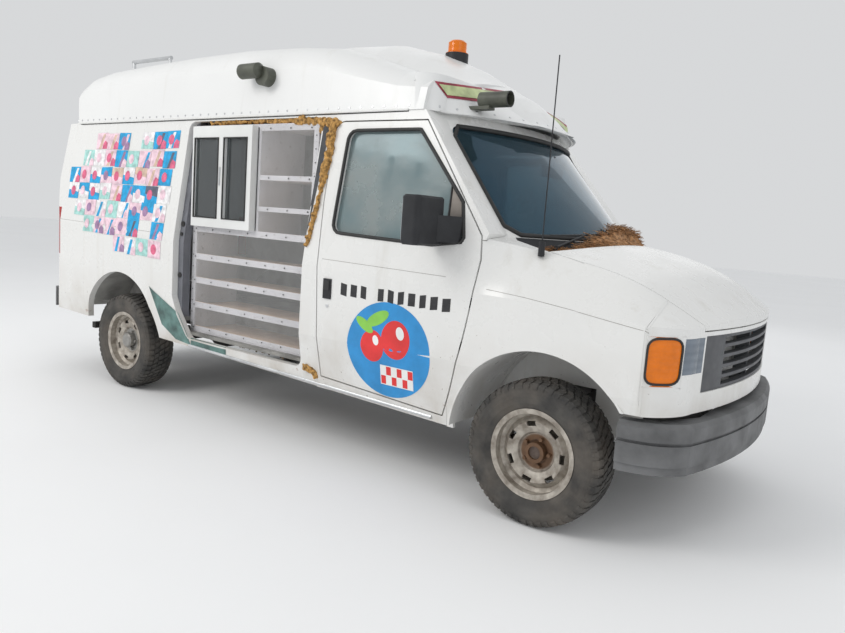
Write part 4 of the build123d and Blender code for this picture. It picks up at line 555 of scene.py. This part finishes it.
for end, x, half in (("front", FRONT_AXLE_X, 0.8675), ("rear", REAR_AXLE_X, 0.855)):
    for side, word in SIDES:
        tyre_piece(f"tyre_{end}_{word}", f"wheel_{end}_{word}", x, side * half)


# Seals of the door windows, on the edge that rays from beside the van find

WINDOW_X, WINDOW_Z = 0.95, 1.60
SEAL_STEPS = 120
SEARCH_STEP = 0.004


def window_frame(word, side, turn, reach):
    """The door's frame at a reach from its window's middle, or None within the window."""
    x, z = WINDOW_X + reach * math.cos(turn), WINDOW_Z + reach * math.sin(turn)
    found = side_hit(f"front_door_{word}", x, z, side)
    return found[0] if found and side * found[0].y > 0.80 else None


for side, word in SIDES:
    ring = []
    for step in range(SEAL_STEPS):
        turn = 2 * math.pi * step / SEAL_STEPS
        reach, edge = 0.2, None
        while reach < 0.60 and edge is None:
            reach += SEARCH_STEP
            edge = window_frame(word, side, turn, reach)
        if edge is None:
            continue
        near, far = reach - SEARCH_STEP, reach
        for _ in range(6):
            middle = (near + far) / 2
            point = window_frame(word, side, turn, middle)
            if point is None:
                near = middle
            else:
                far, edge = middle, point
        ring.append(edge + Vector((0.003 * math.cos(turn), side * 0.001, 0.003 * math.sin(turn))))
    seal(f"window_seal_{word}", ring, 0.010, f"front_door_{word}")


# Rivets, drip seam and gutter along the roof's foot

RIVET_RADIUS = 0.0075
RIVET_PITCH = 0.085
SEAM_RADIUS = 0.0065
SEAM_DROP = 0.022
flange = Piece("roof_rivets", "body", "metal")
for side, word in SIDES:
    line = []
    x = -2.44
    while x < 1.02:
        found = side_hit("roof_cap", x, 2.028, side)
        if found:
            flange.dome(*found, RIVET_RADIUS, "metal")
            line.append(found[0] + Vector((0, side * 0.002, -SEAM_DROP)))
        x += RIVET_PITCH
    pipe(f"drip_seam_{word}", line, SEAM_RADIUS, "paint", "body")
    gutter = [point - Vector((0, side * 0.004, 0.0085)) for point in line]
    pipe(f"gutter_{word}", gutter, 0.0032, "rubber", "body")
front = []
for step in range(-16, 17):
    found = hit("roof_cap", (2.2, step * 0.05, 2.03), (-1, 0, 0))
    if found:
        if step % 2 == 0:
            flange.dome(*found, RIVET_RADIUS, "metal")
        front.append(found[0] + Vector((0.002, 0, -SEAM_DROP)))
flange.make()
pipe("drip_seam_front", front, SEAM_RADIUS, "paint", "body")


# The right door's disc and dashes, laid on the panel point by point

DOOR = ("front_door",)


def drawn_in(outline, share):
    """A flat outline's points, drawn in towards their middle."""
    mx, mz = (sum(point[k] for point in outline) / len(outline) for k in (0, 1))
    return [(mx + (x - mx) * share, mz + (z - mz) * share) for x, z in outline]


def decal(name, outline, look, lift, rings):
    """A thin sticker on the right front door: a fan of rings from an outline of x, z points."""
    piece = Piece(name, "front_door_right", look)
    grid = []
    for ring in range(rings + 1):
        grid.append([side_point(x, z, -1, lift, DOOR) for x, z in drawn_in(outline, ring / rings)])
    for i in range(len(outline)):
        piece.face((grid[0][0], grid[1][i - 1], grid[1][i]), look)
    piece.weave(grid[1:], look, closed=True, flip=True)
    piece.make()


def oval(x, z, rx, rz, turn=0.0, count=36):
    """Points round an ellipse that is turned about its middle."""
    wide = Vector((math.cos(turn), math.sin(turn))) * rx
    tall = Vector((-math.sin(turn), math.cos(turn))) * rz
    return circle(Vector((x, z)), wide, tall, 1, count)


def bar(x0, z0, x1, z1):
    """The corners of an upright rectangle."""
    return [(x0, z0), (x1, z0), (x1, z1), (x0, z1)]


# The disc and its plain fruit motif: two round fruits on a stem with leaves, and a chequered strip
DISC_X, DISC_Z = 1.013, 0.718
MOTIF = (
    (oval(0.055, 0.065, 0.098, 0.105), "disc_red"),
    (oval(-0.105, 0.010, 0.082, 0.088), "disc_red"),
    (oval(-0.075, 0.165, 0.085, 0.034, 0.5), "disc_green"),
    (oval(-0.165, 0.120, 0.070, 0.028, -0.5), "disc_green"),
    (oval(0.085, 0.105, 0.026, 0.036, 0.4), "disc_white"),
    (oval(-0.080, 0.045, 0.020, 0.028, 0.4), "disc_white"),
    (bar(-0.05, -0.195, 0.175, -0.085), "disc_white"),
)


def on_disc(name, shape, look, lift, rings):
    decal(name, [(DISC_X + x, DISC_Z + z) for x, z in shape], look, lift, rings)


on_disc("door_disc", oval(0, 0, 0.288, 0.262, count=56), "disc", 0.0009, 9)
for place, (shape, look) in enumerate(MOTIF):
    on_disc(f"disc_motif_{place}", shape, look, 0.0014 + 0.00015 * place, 4)
for column in range(6):
    for row in range(column % 2, 2, 2):
        x, z = 0.037 * column - 0.045, 0.053 * row - 0.19
        on_disc(f"disc_check_{column}_{row}", bar(x, z, x + 0.033, z + 0.047), "disc_red", 0.0026, 1)
# A row of blank black dashes above it
DASH_LOW, DASH_HIGH = 0.978, 1.045
x = 0.655
for place in range(10):
    wide = RNG.choice((0.040, 0.046, 0.050))
    if place == 3:
        x += 0.055
    slant = RNG.uniform(-0.004, 0.004)
    low = [(x, DASH_LOW + slant), (x + wide, DASH_LOW - slant)]
    high = [(x + wide, DASH_HIGH - slant), (x, DASH_HIGH + slant)]
    decal(f"door_dash_{place}", low + high, "mark", 0.0009, 2)
    x += wide + 0.029


# Picture cards on the rear side panel: plain colour patches, no words

# Places in CARD_COLOURS of a card's ground, band and block
CARD_STYLES = ((1, 0, 3), (1, 4, 3), (1, 7, 2), (2, 1, 7), (1, 2, 7), (2, 6, 3), (5, 0, 2), (0, 1, 2))
cards = Piece("picture_cards", "body", *(f"card{place}" for place in range(len(CARD_COLOURS))))


def card(x, z, wide, tall, turn):
    """One faded card: a coloured ground, a slanted band, a block in its corner, perhaps an oval."""

    def at(u, v, lift):
        px = x + u * wide * math.cos(turn) - v * tall * math.sin(turn)
        pz = z + u * wide * math.sin(turn) + v * tall * math.cos(turn)
        return side_point(px, pz, -1, lift, ("body_side",))

    def patch(points, colour, lift):
        """A polygon in rings round its middle, so that it follows the panel."""
        rings = [[at(u, v, lift) for u, v in drawn_in(points, share)] for share in (0.4, 0.7, 1.0)]
        cards.face(rings[0], f"card{colour}")
        cards.weave(rings, f"card{colour}", closed=True, flip=True)

    ground, band, block = RNG.choice(CARD_STYLES)
    patch(((-0.5, -0.5), (0.5, -0.5), (0.5, 0.5), (-0.5, 0.5)), ground, 0.0022)
    style = RNG.random()
    foot = RNG.uniform(-0.36, -0.05)
    if style < 0.62:
        patch(((foot, -0.5), (foot + 0.24, -0.5), (foot + 0.50, 0.42), (foot + 0.30, 0.42)), band, 0.0026)
        patch(((0.08, -0.5), (0.5, -0.5), (0.5, -0.12), (0.26, 0.02), (0.12, -0.2)), block, 0.0030)
    elif style < 0.85:
        patch(((-0.5, 0.06), (0.5, -0.10), (0.5, 0.5), (-0.5, 0.5)), band, 0.0026)
    if style > 0.5:
        patch(oval(foot * 0.4, 0, 0.22, 0.30, count=12), block, 0.0034)


CARD_PITCH = 0.153
CARD_ROWS = (
    # z, first x, last x, share that is still there
    (1.860, -1.02, -2.02, 0.85),
    (1.728, -1.04, -2.16, 0.95),
    (1.600, -1.05, -2.30, 0.95),
    (1.474, -1.06, -2.32, 0.95),
    (1.346, -1.07, -2.34, 0.80),
    (1.218, -1.07, -2.05, 0.75),
    (1.090, -1.08, -1.62, 0.90),
)
for row_z, first_x, last_x, share in CARD_ROWS:
    card_x = first_x + RNG.uniform(-0.02, 0.02)
    while card_x > last_x:
        if RNG.random() < share:
            z = row_z + RNG.uniform(-0.006, 0.006)
            wide, tall = RNG.uniform(0.146, 0.154), RNG.uniform(0.119, 0.127)
            card(card_x - 0.075, z, wide, tall, RNG.uniform(-0.025, 0.025))
        card_x -= CARD_PITCH
cards.make()

# Pressed creases along the panels, each drawn as a thin dark strip sunk into the panel: painted shade in the
# crease
CREASE_SHADES = (
    # name, body, panels, line of x, z points
    ("rear", "body", ("body_side",), ((-2.50, 1.232), (-1.9, 1.222), (-1.4, 1.212), (-1.005, 1.204))),
    ("door", "front_door", DOOR, ((0.492, 1.168), (0.8, 1.163), (1.1, 1.158), (1.41, 1.153))),
    (
        "fender", "body", ("cab_front", "fender"),
        ((1.60, 1.118), (1.80, 1.102), (2.05, 1.075), (2.30, 1.040), (2.43, 1.022)),
    ),
)
for name, body, panels, line in CREASE_SHADES:
    for side, word in SIDES:
        points = []
        for (xa, za), (xb, zb) in zip(line, line[1:]):
            for share in (step / 6 for step in range(6)):
                points.append(side_point(xa + (xb - xa) * share, za + (zb - za) * share, side, -0.0008, panels))
        rides = f"{body}_{word}" if body == "front_door" else body
        pipe(f"crease_{name}_{word}", points, 0.0018, "crease", rides)

# Bare primer at the side opening's rear foot and along the sill: pixel corners, and steps
SKIN = ("body_side_right", "cab_front", "side_posts", "floor_pan")
PRIMER = (
    ("foot", ((149, 286), (154, 291), (178, 313), (162, 324)), (8, 10)),
    ("low", ((162, 324), (178, 313), (191, 345), (176, 339)), (8, 8)),
    ("sill", ((191, 338), (226, 348), (226, 360), (191, 349)), (10, 5)),
)
for name, corners, steps in PRIMER:
    pixel_patch(f"primer_{name}", SKIN, corners, "patch", 0.0025, steps)


# Blank signs on the roof's front: a pale board with a dark red edge, laid on the band

SIGN = ((434.3, 81), (503.7, 91.2), (509.8, 106), (447, 97.9))
BOARD = [between(SIGN, u, v) for u, v in ((0.03, 0.17), (0.97, 0.17), (0.97, 0.83), (0.03, 0.83))]
for word, mirror in (("near", False), ("far", True)):
    for part, corners, look, lift in (("edge", SIGN, "sign_edge", 0.003), ("board", BOARD, "sign", 0.0055)):
        pixel_patch(f"sign_{part}_{word}", ("roof_cap",), corners, look, lift, (24, 6), mirror)


# Door handles, locks and mirror glass

for side, word in SIDES:
    handle = Piece(f"door_handle_{word}", f"front_door_{word}", "black", "metal", "rubber")
    face = side_point(0.553, 1.0, side, 0, DOOR).y
    handle.box((0.522, face - side * 0.004, 0.945), (0.582, face + side * 0.009, 1.06), "black")
    handle.box((0.531, face + side * 0.009, 0.995), (0.573, face + side * 0.014, 1.05), "rubber")
    lock = side_point(0.556, 0.905, side, 0, DOOR)
    handle.tube(lock, lock + Vector((0, side * 0.004, 0)), 0.011, "metal", 16)
    handle.make(bevel=0.002)
    glass = Piece(f"mirror_glass_{word}", f"front_door_{word}", "mirror")
    glass.box((1.2285, side * 1.035, 1.325), (1.2298, side * 1.225, 1.525), "mirror")
    glass.make()

# Latch fittings on the jamb behind the side opening
trim = Piece("body_trim", "body", "rubber")
for z, radius in ((0.93, 0.019), (1.215, 0.013), (1.285, 0.019)):
    found = side_hit("side_posts", -0.915, z)
    if found:
        trim.tube(found[0] - Vector((0, 0.001, 0)), found[0] - Vector((0, 0.007, 0)), radius, "rubber", 10)
trim.make()

# Rear door handle and blank plate
rear = Piece("rear_handle", "rear_door_left", "black", "metal")
rear.box((-2.6445, 0.03, 0.985), (-2.6315, 0.15, 1.045), "black")
rear.box((-2.6485, 0.05, 1.00), (-2.6445, 0.13, 1.03), "metal")
rear.make(bevel=0.002)
plate = Piece("rear_plate", "rear_door_left", "metal", "rubber")
plate.box((-2.6345, 0.19, 0.80), (-2.6315, 0.495, 0.955), "metal")
for y, z in ((0.22, 0.935), (0.465, 0.935), (0.22, 0.82), (0.465, 0.82)):
    plate.dome((-2.6345, y, z), (-1, 0, 0), 0.006, "rubber")
plate.make(bevel=0.0006)


# Seals round the windshield and the rear windows

GLASS_FOOT = (1.815, 1.385)  # X and Z of the windshield's foot in the middle
GLASS_SLOPE = 498 / 573
GLASS_HALF, GLASS_BULGE = 0.770, 0.230
GLASS_RADIUS = (GLASS_HALF**2 + GLASS_BULGE**2) / (2 * GLASS_BULGE)


def shield_x(y, z):
    """X of the windshield's outer face: an arc in plan that leans back evenly."""
    arc = math.sqrt(GLASS_RADIUS**2 - y * y) - GLASS_RADIUS
    return GLASS_FOOT[0] + arc - (z - GLASS_FOOT[1]) * GLASS_SLOPE


low_edge = [(-0.775 + 0.05 * i, 1.387) for i in range(1, 31)]
high_edge = [(0.69 - 0.06 * i, 1.943) for i in range(24)]
outline = [*low_edge, (0.782, 1.43), (0.745, 1.88), *high_edge, (-0.745, 1.88), (-0.782, 1.43)]
ring = [(shield_x(y, z) + 0.002, y, z) for y, z in outline]
seal("windshield_seal", ring, 0.013)

REAR_WINDOW = (
    (0.115, 1.37), (0.115, 1.80), (0.125, 1.805), (0.625, 1.805),
    (0.632, 1.80), (0.632, 1.37), (0.625, 1.365), (0.125, 1.365),
)
for side, word in SIDES:
    ring = []
    for y, z in REAR_WINDOW:
        out, up = math.copysign(0.006, y - 0.4), math.copysign(0.006, z - 1.5)
        found = hit(f"rear_door_{word}", (-3.2, side * (y + out), z + up), (1, 0, 0))
        if found:
            ring.append(found[0] - Vector((0.001, 0, 0)))
    seal(f"rear_window_seal_{word}", ring, 0.009, f"rear_door_{word}")


# Wipers

COWL_Z = 1.335


def glass_foot(y):
    """X of the windshield's face at the cowl's height."""
    return shield_x(y, COWL_Z)


for place, (py, reach) in enumerate(((-0.62, 0.62), (0.02, 0.60))):
    wiper = Piece(f"wiper_{place}", "body", "black", "rubber")
    pivot = Vector((glass_foot(py) + 0.045, py, COWL_Z))
    wiper.tube(pivot - Vector((0, 0, 0.04)), pivot + Vector((0, 0, 0.012)), 0.014, "black", 12)
    tip_y, tip_z = py + reach * 0.55, 1.42
    tip = Vector((shield_x(tip_y, tip_z) + 0.028, tip_y, tip_z))
    wiper.tube(pivot, tip, 0.008, "black", 8, 0.005)
    blade = []
    for step in range(9):
        y, z = py + reach * (0.08 + 0.115 * step), 1.395 + 0.004 * step
        blade.append(Vector((shield_x(y, z) + 0.014, y, z)))
    for a, b in zip(blade, blade[1:]):
        wiper.tube(a, b, 0.006, "rubber", 6)
    wiper.make()


# The cowl's face and louvres, and the room that the opening hood needs above them

HOOD_AXIS = (1.825, 1.278)  # X and Z of the hinges
HOOD_OPEN = math.radians(50 + 6)  # the hinges' range, and room to spare
HOOD_REAR_X, HOOD_REAR_RADIUS = 1.950, 2.408  # the arc of the hood's rear edge, in plan
HOOD_DEPTH = 0.032
HOOD_CLEARANCE = 0.010
EDGE_HALF, EDGE_STEP = 0.8, 0.02
COWL_CEILING = 1.375  # just below the windshield's foot


def cowl_top(x, y):
    """The highest point of the cowl's panels at a place that the hood doesn't cover, or None."""
    if hit("hood", (x, y, ABOVE_HOOD), (0, 0, -1)):
        return None
    below = (hit(name, (x, y, COWL_CEILING), (0, 0, -1)) for name in ("cowl_panel", "cab_front"))
    return max((found[0].z for found in below if found), default=None)


def hood_edge(y):
    """The radius that the hood's rear edge leaves free round its hinges, and the angle it opens to."""
    x = HOOD_REAR_X - (HOOD_REAR_RADIUS - math.sqrt(HOOD_REAR_RADIUS**2 - y * y))
    found = hit("hood", (x + 0.012, y, ABOVE_HOOD), (0, 0, -1))
    rise = (found[0].z if found else 1.32) - HOOD_AXIS[1]
    free = math.hypot(x - 0.002 - HOOD_AXIS[0], max(0, rise - HOOD_DEPTH)) - HOOD_CLEARANCE
    return free, math.atan2(rise, x - HOOD_AXIS[0]) + HOOD_OPEN


EDGES = [hood_edge(-EDGE_HALF + EDGE_STEP * step) for step in range(round(2 * EDGE_HALF / EDGE_STEP) + 1)]


def swing_clear(point):
    """Whether the opening hood passes a point by."""
    dx, dz = point[0] - HOOD_AXIS[0], point[2] - HOOD_AXIS[1]
    y = max(-EDGE_HALF, min(EDGE_HALF, point[1]))
    free, angle = EDGES[round((y + EDGE_HALF) / EDGE_STEP)]
    return math.hypot(dx, dz) < free or math.atan2(dz, dx) > angle


cowl = Piece("cowl_face", "body", "black")
rows = []
for z in (1.300, 1.325, 1.350, 1.374):
    row = []
    for step in range(39):
        found = hit("cab_front", (2.4, -0.76 + 0.04 * step, z), (-1, 0, 0))
        row.append(found[0] + Vector((0.002, 0, 0)) if found and found[0].x > 1.40 else None)
    rows.append(row)
cowl.weave(rows, "black")
cowl.make()

louvres = Piece("cowl_louvres", "body", "louvre")
for step in range(26):
    y = -0.73 + 0.022 * step
    ends = [hit("cowl_panel", (glass_foot(y) + out, y, COWL_CEILING), (0, 0, -1)) for out in (0.035, 0.135)]
    if all(ends):
        a, b = (found[0] + Vector((0, 0, 0.002)) for found in ends)
        louvres.tube(a, b, 0.0036, "louvre", 4)
louvres.make()


# Dry needles, drifted against the windshield

# The drift's height along the glass: Y and height
HEAP = (
    (-0.80, 0.006), (-0.50, 0.014), (-0.30, 0.075), (-0.05, 0.135),
    (0.20, 0.165), (0.45, 0.175), (0.62, 0.14), (0.76, 0.06),
)
HEAP_REACH = 0.105
HEAP_STEP = 0.004
GLASS_GAP = 0.010
DRIFT_ROWS = 7
NEEDLES, NEEDLE_TRIES = 4200, 26000


@functools.cache
def heap_reach(y):
    """How far out from the glass the drift may lie."""
    out = 0.0
    while out < HEAP_REACH:
        x = glass_foot(y) + GLASS_GAP + out
        ground = cowl_top(x, y)
        if ground is None or not swing_clear((x, y, ground + 0.005)):
            break
        out += HEAP_STEP
    return out - HEAP_STEP


def heap_point(y, part, share=1.0):
    """A point of the drift: part runs out from the glass, share up from the cowl."""
    reach = heap_reach(y)
    foot = glass_foot(y) + GLASS_GAP
    base = cowl_top(foot, y)
    ground = cowl_top(foot + part * reach, y)
    if ground is None or base is None or reach < 0:
        return None
    tall = 0.0
    ripple = 0.85 + 0.15 * math.sin(y * 31) * math.cos(y * 13 + part * 4)
    for (ya, ha), (yb, hb) in zip(HEAP, HEAP[1:]):
        if ya <= y <= yb:
            tall = (ha + (hb - ha) * (y - ya) / (yb - ya)) * ripple
    lean = max(0.0, foot - GLASS_GAP - shield_x(y, base + tall))
    x = foot + part * reach - lean * share * (1 - part) ** 2

    def placed(rise):
        z = ground + rise
        return max(x, shield_x(y, z) + GLASS_GAP), y, z

    rise = tall * share * (1 - part**1.5)
    while rise > 0.003 and not swing_clear(placed(rise)):
        rise -= 0.003
    return Vector(placed(rise))


drift = Piece("needle_drift", "body", "needle")
rows = []
for y in (-0.36 + 0.0275 * i for i in range(40)):
    surface = [heap_point(y, j / DRIFT_ROWS, 0.82) for j in range(DRIFT_ROWS + 1)]
    rows.append([heap_point(y, 0.0, -0.02), *surface, heap_point(y, 1.0, -0.02)])
drift.weave(rows, "needle", closed=True)
drift.make()

needles = Piece("dry_needles", "body", "needle")
made = 0
tries = 0
while made < NEEDLES and tries < NEEDLE_TRIES:
    tries += 1
    y = RNG.uniform(-0.76, 0.2) if tries % 4 == 0 else max(-0.76, min(0.74, RNG.gauss(0.12, 0.42)))
    start = heap_point(y, RNG.uniform(0.0, 1.0), RNG.uniform(0.75, 1.0))
    if start is None:
        continue
    turn = RNG.uniform(0, 2 * math.pi)
    long = RNG.uniform(0.03, 0.085)
    end = start + Vector((math.cos(turn) * long, math.sin(turn) * long, RNG.uniform(-0.012, 0.018)))
    ground = cowl_top(end.x, end.y)
    if ground is None or end.z < ground or end.x < shield_x(end.y, end.z) + 0.008 or abs(end.y) > 0.78:
        continue
    if not all(swing_clear(start.lerp(end, share)) for share in (0, 0.5, 1)):
        continue
    needles.tube(start, end, RNG.uniform(0.0009, 0.0018), "needle", 3)
    made += 1
needles.make()


# Spray foam round the side opening, and dirt along its sill


def foam(name, path, size, count, look="foam"):
    """Lumps run together along a path of points."""
    mesh = bpy.data.meshes.new(name)
    built = bmesh.new()
    for n in range(count):
        share = n / (count - 1) * (len(path) - 1)
        i = min(int(share), len(path) - 2)
        spot = Vector(path[i]).lerp(Vector(path[i + 1]), share - i)
        radius = size * RNG.uniform(0.3, 1.0)
        shift = Vector((RNG.uniform(-1, 1), RNG.uniform(-1, 1), RNG.uniform(-1, 1))) * size * 0.75
        squash = Matrix.Diagonal((1, RNG.uniform(0.6, 1), RNG.uniform(0.7, 1.1), 1))
        lump = Matrix.Translation(spot + shift) @ squash
        bmesh.ops.create_icosphere(built, subdivisions=2, radius=radius, matrix=lump)
    built.to_mesh(mesh)
    built.free()
    mesh.materials.append(M[look])
    obj = bpy.data.objects.new(name, mesh)
    bpy.context.collection.objects.link(obj)
    fuse = obj.modifiers.new("fuse", "REMESH")
    fuse.mode = "VOXEL"
    fuse.voxel_size = 0.0055
    fuse.use_smooth_shade = True
    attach(obj, "body")


def pixel_path(pixels, out=0.0):
    """Points of the right side that the photograph shows at some pixels, moved outwards."""
    found = (pixel_hit(px, py, *SKIN) for px, py in pixels)
    return [place[0] - Vector((0, out, 0)) for place in found if place]


foam("foam_top", [(-0.72, -0.868, 1.972), (-0.1, -0.866, 1.974), (0.16, -0.864, 1.972)], 0.015, 260)
bend = [(0.10, -0.868, 1.968), (0.24, -0.868, 1.966), (0.325, -0.868, 1.955), (0.33, -0.870, 1.90)]
foam("foam_corner", bend, 0.024, 110)
shade = ((319.5, 126), (331, 126), (309, 225), (304, 240))
pixel_patch("jamb_shade", SKIN, shade, "shade", 0.002, (5, 24))
shares = [step / 25 for step in range(26)]
beside = pixel_path([(336 - 25 * s - 4 * s * s, 124 + 122 * s) for s in shares], 0.006)
foam("foam_pillar", beside[:13], 0.022, 170)
foam("foam_pillar_low", beside[12:], 0.014, 150)
foam("foam_pillar_top", pixel_path([(px, 123) for px in (322, 328, 334, 339)]), 0.022, 60)
foam("foam_low", pixel_path(((304, 366), (312, 370), (317, 377))), 0.017, 60)
foam("sill_dirt", [(-0.60, -0.90, 0.522), (-0.2, -0.905, 0.518), (0.26, -0.905, 0.515)], 0.010, 46, "dirt")

# Sill strip under the opening and door
SILL_END_X = 1.36
sill = []
x = -0.78
while x < SILL_END_X:
    sill.append(side_point(x, 0.402 + 0.024 * (SILL_END_X - x), -1, -0.002))
    x += 0.08
pipe("sill_strip", sill, 0.012, "metal", "body")


# Screws that hold the clear sheet to the cabinet's shelf lips and rim

screws = Piece("sheet_screws", "body", "rubber")


def screw(x, z, radius):
    """A screw's head, where the service window doesn't cover the sheet."""
    found = side_hit("cabinet_sheet", x, z)
    if found and not side_hit("service_window", x, z):
        screws.dome(found[0], (0, -1, 0), radius, "rubber", 6)


LIP_STEP = 0.004
lips = []  # the lowest and highest Z of each
z = 0.56
while z < 1.94:
    found = side_hit("display_cabinet", 0.10, z)
    if found and found[0].y < -0.875:
        if lips and z - lips[-1][1] <= 0.006:
            lips[-1][1] = z
        else:
            lips.append([z, z])
    z += LIP_STEP
for low, high in lips:
    for x in (-0.84, -0.66, -0.48, -0.30, -0.12, 0.06, 0.24):
        screw(x, (low + high) / 2, 0.0055)
for step in range(17):
    for x in (-0.862, 0.282):
        screw(x, 0.60 + 0.08 * step, 0.0045)
screws.make()

# Service window: seals and slide handle
for place, (x0, x1) in enumerate(((-0.817, -0.568), (-0.512, -0.283))):
    ring = [(x0, -0.931, 1.344), (x1, -0.931, 1.344), (x1, -0.931, 1.867), (x0, -0.931, 1.867)]
    seal(f"lite_seal_{place}", ring, 0.006)
grip = Piece("slide_grip", "body", "metal")
grip.box((-0.552, -0.9355, 1.56), (-0.540, -0.930, 1.68), "metal")
grip.make(bevel=0.0015)

# Beacon collar and the edge of the front horn's mouth
collar = Piece("roof_details", "body", "rubber", "black")
collar.tube((0.631, 0, 2.434), (0.631, 0, 2.512), 0.0752, "black", 40)
MOUTH = Vector((1.411, -0.600, 2.092))
lip = [circle(MOUTH, Vector((0, 1, 0)), Vector((0, 0, 1)), radius, 24) for radius in (0.043, 0.036)]
collar.weave(lip, "rubber", closed=True)
collar.make()


# Corner lamps' gaskets, in a surround of the body's colour


def rounded(corners, radius):
    """A closed outline, each of its corners turned by a short arc of six points."""
    points = []
    for i, corner in enumerate(corners):
        before, after = corners[i - 1] - corner, corners[(i + 1) % len(corners)] - corner
        a, b = corner + before.normalized() * radius, corner + after.normalized() * radius
        for t in (step / 5 for step in range(6)):
            points.append(a * (1 - t) ** 2 + corner * 2 * t * (1 - t) + b * t * t)
    return points


def both_sides(points):
    """Points of the right side, and the same points mirrored."""
    return ("right", points), ("left", [mirrored(point) for point in points])


# The lamp's outline in the photograph, and where its surround ends, before the headlamp
LAMP = [Vector((px, py, 0)) for px, py in ((648.6, 338.6), (683.9, 339.2), (677.8, 385.4), (643.4, 384.4))]
LAMP_SKIN = ("corner_lamp_right", "fender_right", "header_panel")
SURROUND_END = 686
middle = sum(LAMP, Vector()) / 4
outline = rounded(LAMP, 11)
edge = [pixel_hit(spot.x, spot.y, *LAMP_SKIN) for spot in outline]
if all(edge):
    for word, points in both_sides([point + normal * 0.002 for point, normal in edge]):
        seal(f"lamp_gasket_{word}", points, 0.0055)
    surround = Piece("lamp_surround", "body", "paint")
    outer = rounded([spot + (spot - middle).normalized() * 2.8 for spot in LAMP], 1.5)
    rings = []
    for share, lift in ((0, 0.0016), (0.45, 0.0020), (0.75, 0.0030), (1.0, 0.0050), (1.35, 0.0004)):
        spots = [a.lerp(b, share) for a, b in zip(outline, outer)]
        found = [pixel_hit(min(SURROUND_END, spot.x), spot.y, *LAMP_SKIN) for spot in spots]
        rings.append([place and place[0] + place[1] * lift for place in found])
    surround.weave(rings, "paint", closed=True)
    surround.weave([[point and mirrored(point) for point in ring] for ring in rings], "paint", closed=True)
    surround.make()

# Filled seams of the nose, painted over as on the van
FILLED = (((647.2, 329), (667.2, 301.8)), ((646.6, 330), (638.4, 416)))
NOSE = ("fender_right", "header_panel")
for place, ((ax, ay), (bx, by)) in enumerate(FILLED):
    corners = ((ax - 1.3, ay), (ax + 1.3, ay), (bx + 1.3, by), (bx - 1.3, by))
    for word, mirror in (("near", False), ("far", True)):
        name = f"filled_seam_{place}_{word}"
        pixel_patch(name, NOSE, corners, "paint", 0.0012, (1, 24), mirror)

# Blank panel in the front corner of each door's glass
corner = [pixel_hit(px, py, "door_glass_right") for px, py in ((453, 184), (465, 207), (464, 229), (447, 232))]
if all(corner):
    for word, points in both_sides([point + normal * 0.0012 for point, normal in corner]):
        sail = Piece(f"corner_panel_{word}", f"front_door_{word}", "sail", "rubber")
        sail.face(points if word == "right" else points[::-1], "sail")
        sail.tube(points[0], points[3], 0.006, "rubber", 6)
        sail.make()

# The cabin's mirror, on a stalk from the windshield
cab_mirror = Piece("cab_mirror", "body", "black")
mirror_x = shield_x(0.02, 1.80)
cab_mirror.box((mirror_x - 0.085, -0.105, 1.735), (mirror_x - 0.066, 0.145, 1.800), "black")
stalk_top = (shield_x(0.02, 1.865) - 0.011, 0.02, 1.865)
cab_mirror.tube((mirror_x - 0.070, 0.02, 1.79), stalk_top, 0.007, "black", 8)
cab_mirror.make(bevel=0.004)


# Floor, lights and background

floor_mesh = bpy.data.meshes.new("floor")
floor_mesh.from_pydata([(-40, -40, 0), (40, -40, 0), (40, 40, 0), (-40, 40, 0)], [], [(0, 1, 2, 3)])
floor = bpy.data.objects.new("floor", floor_mesh)
bpy.context.collection.objects.link(floor)
floor_mesh.materials.append(plain("studio_floor", (0.94, 0.945, 0.95), 0.8, 0.01, 0.5, grain=None))

world = bpy.data.worlds.new("studio")
bpy.context.scene.world = world
world.use_nodes = True
background = world.node_tree.nodes["Background"]
background.inputs["Color"].default_value = (0.68, 0.69, 0.70, 1)
background.inputs["Strength"].default_value = 1.0


def area(name, place, target, size, power, colour=(1, 1, 1)):
    """A square lamp at a place, turned to a target."""
    data = bpy.data.lights.new(name, "AREA")
    data.energy = power
    data.size = size
    data.color = colour
    lamp = bpy.data.objects.new(name, data)
    lamp.location = place
    lamp.rotation_euler = (Vector(target) - Vector(place)).to_track_quat("-Z", "Y").to_euler()
    bpy.context.collection.objects.link(lamp)


area("key", (-3.5, -7.5, 6.5), (0, 0, 1), 4.5, 330, (1, 0.98, 0.95))
area("front", (8.5, -3.0, 4.5), (1, 0, 1), 6, 75)
area("back", (-2.0, 7.0, 5.5), (0, 0, 1), 8, 75)
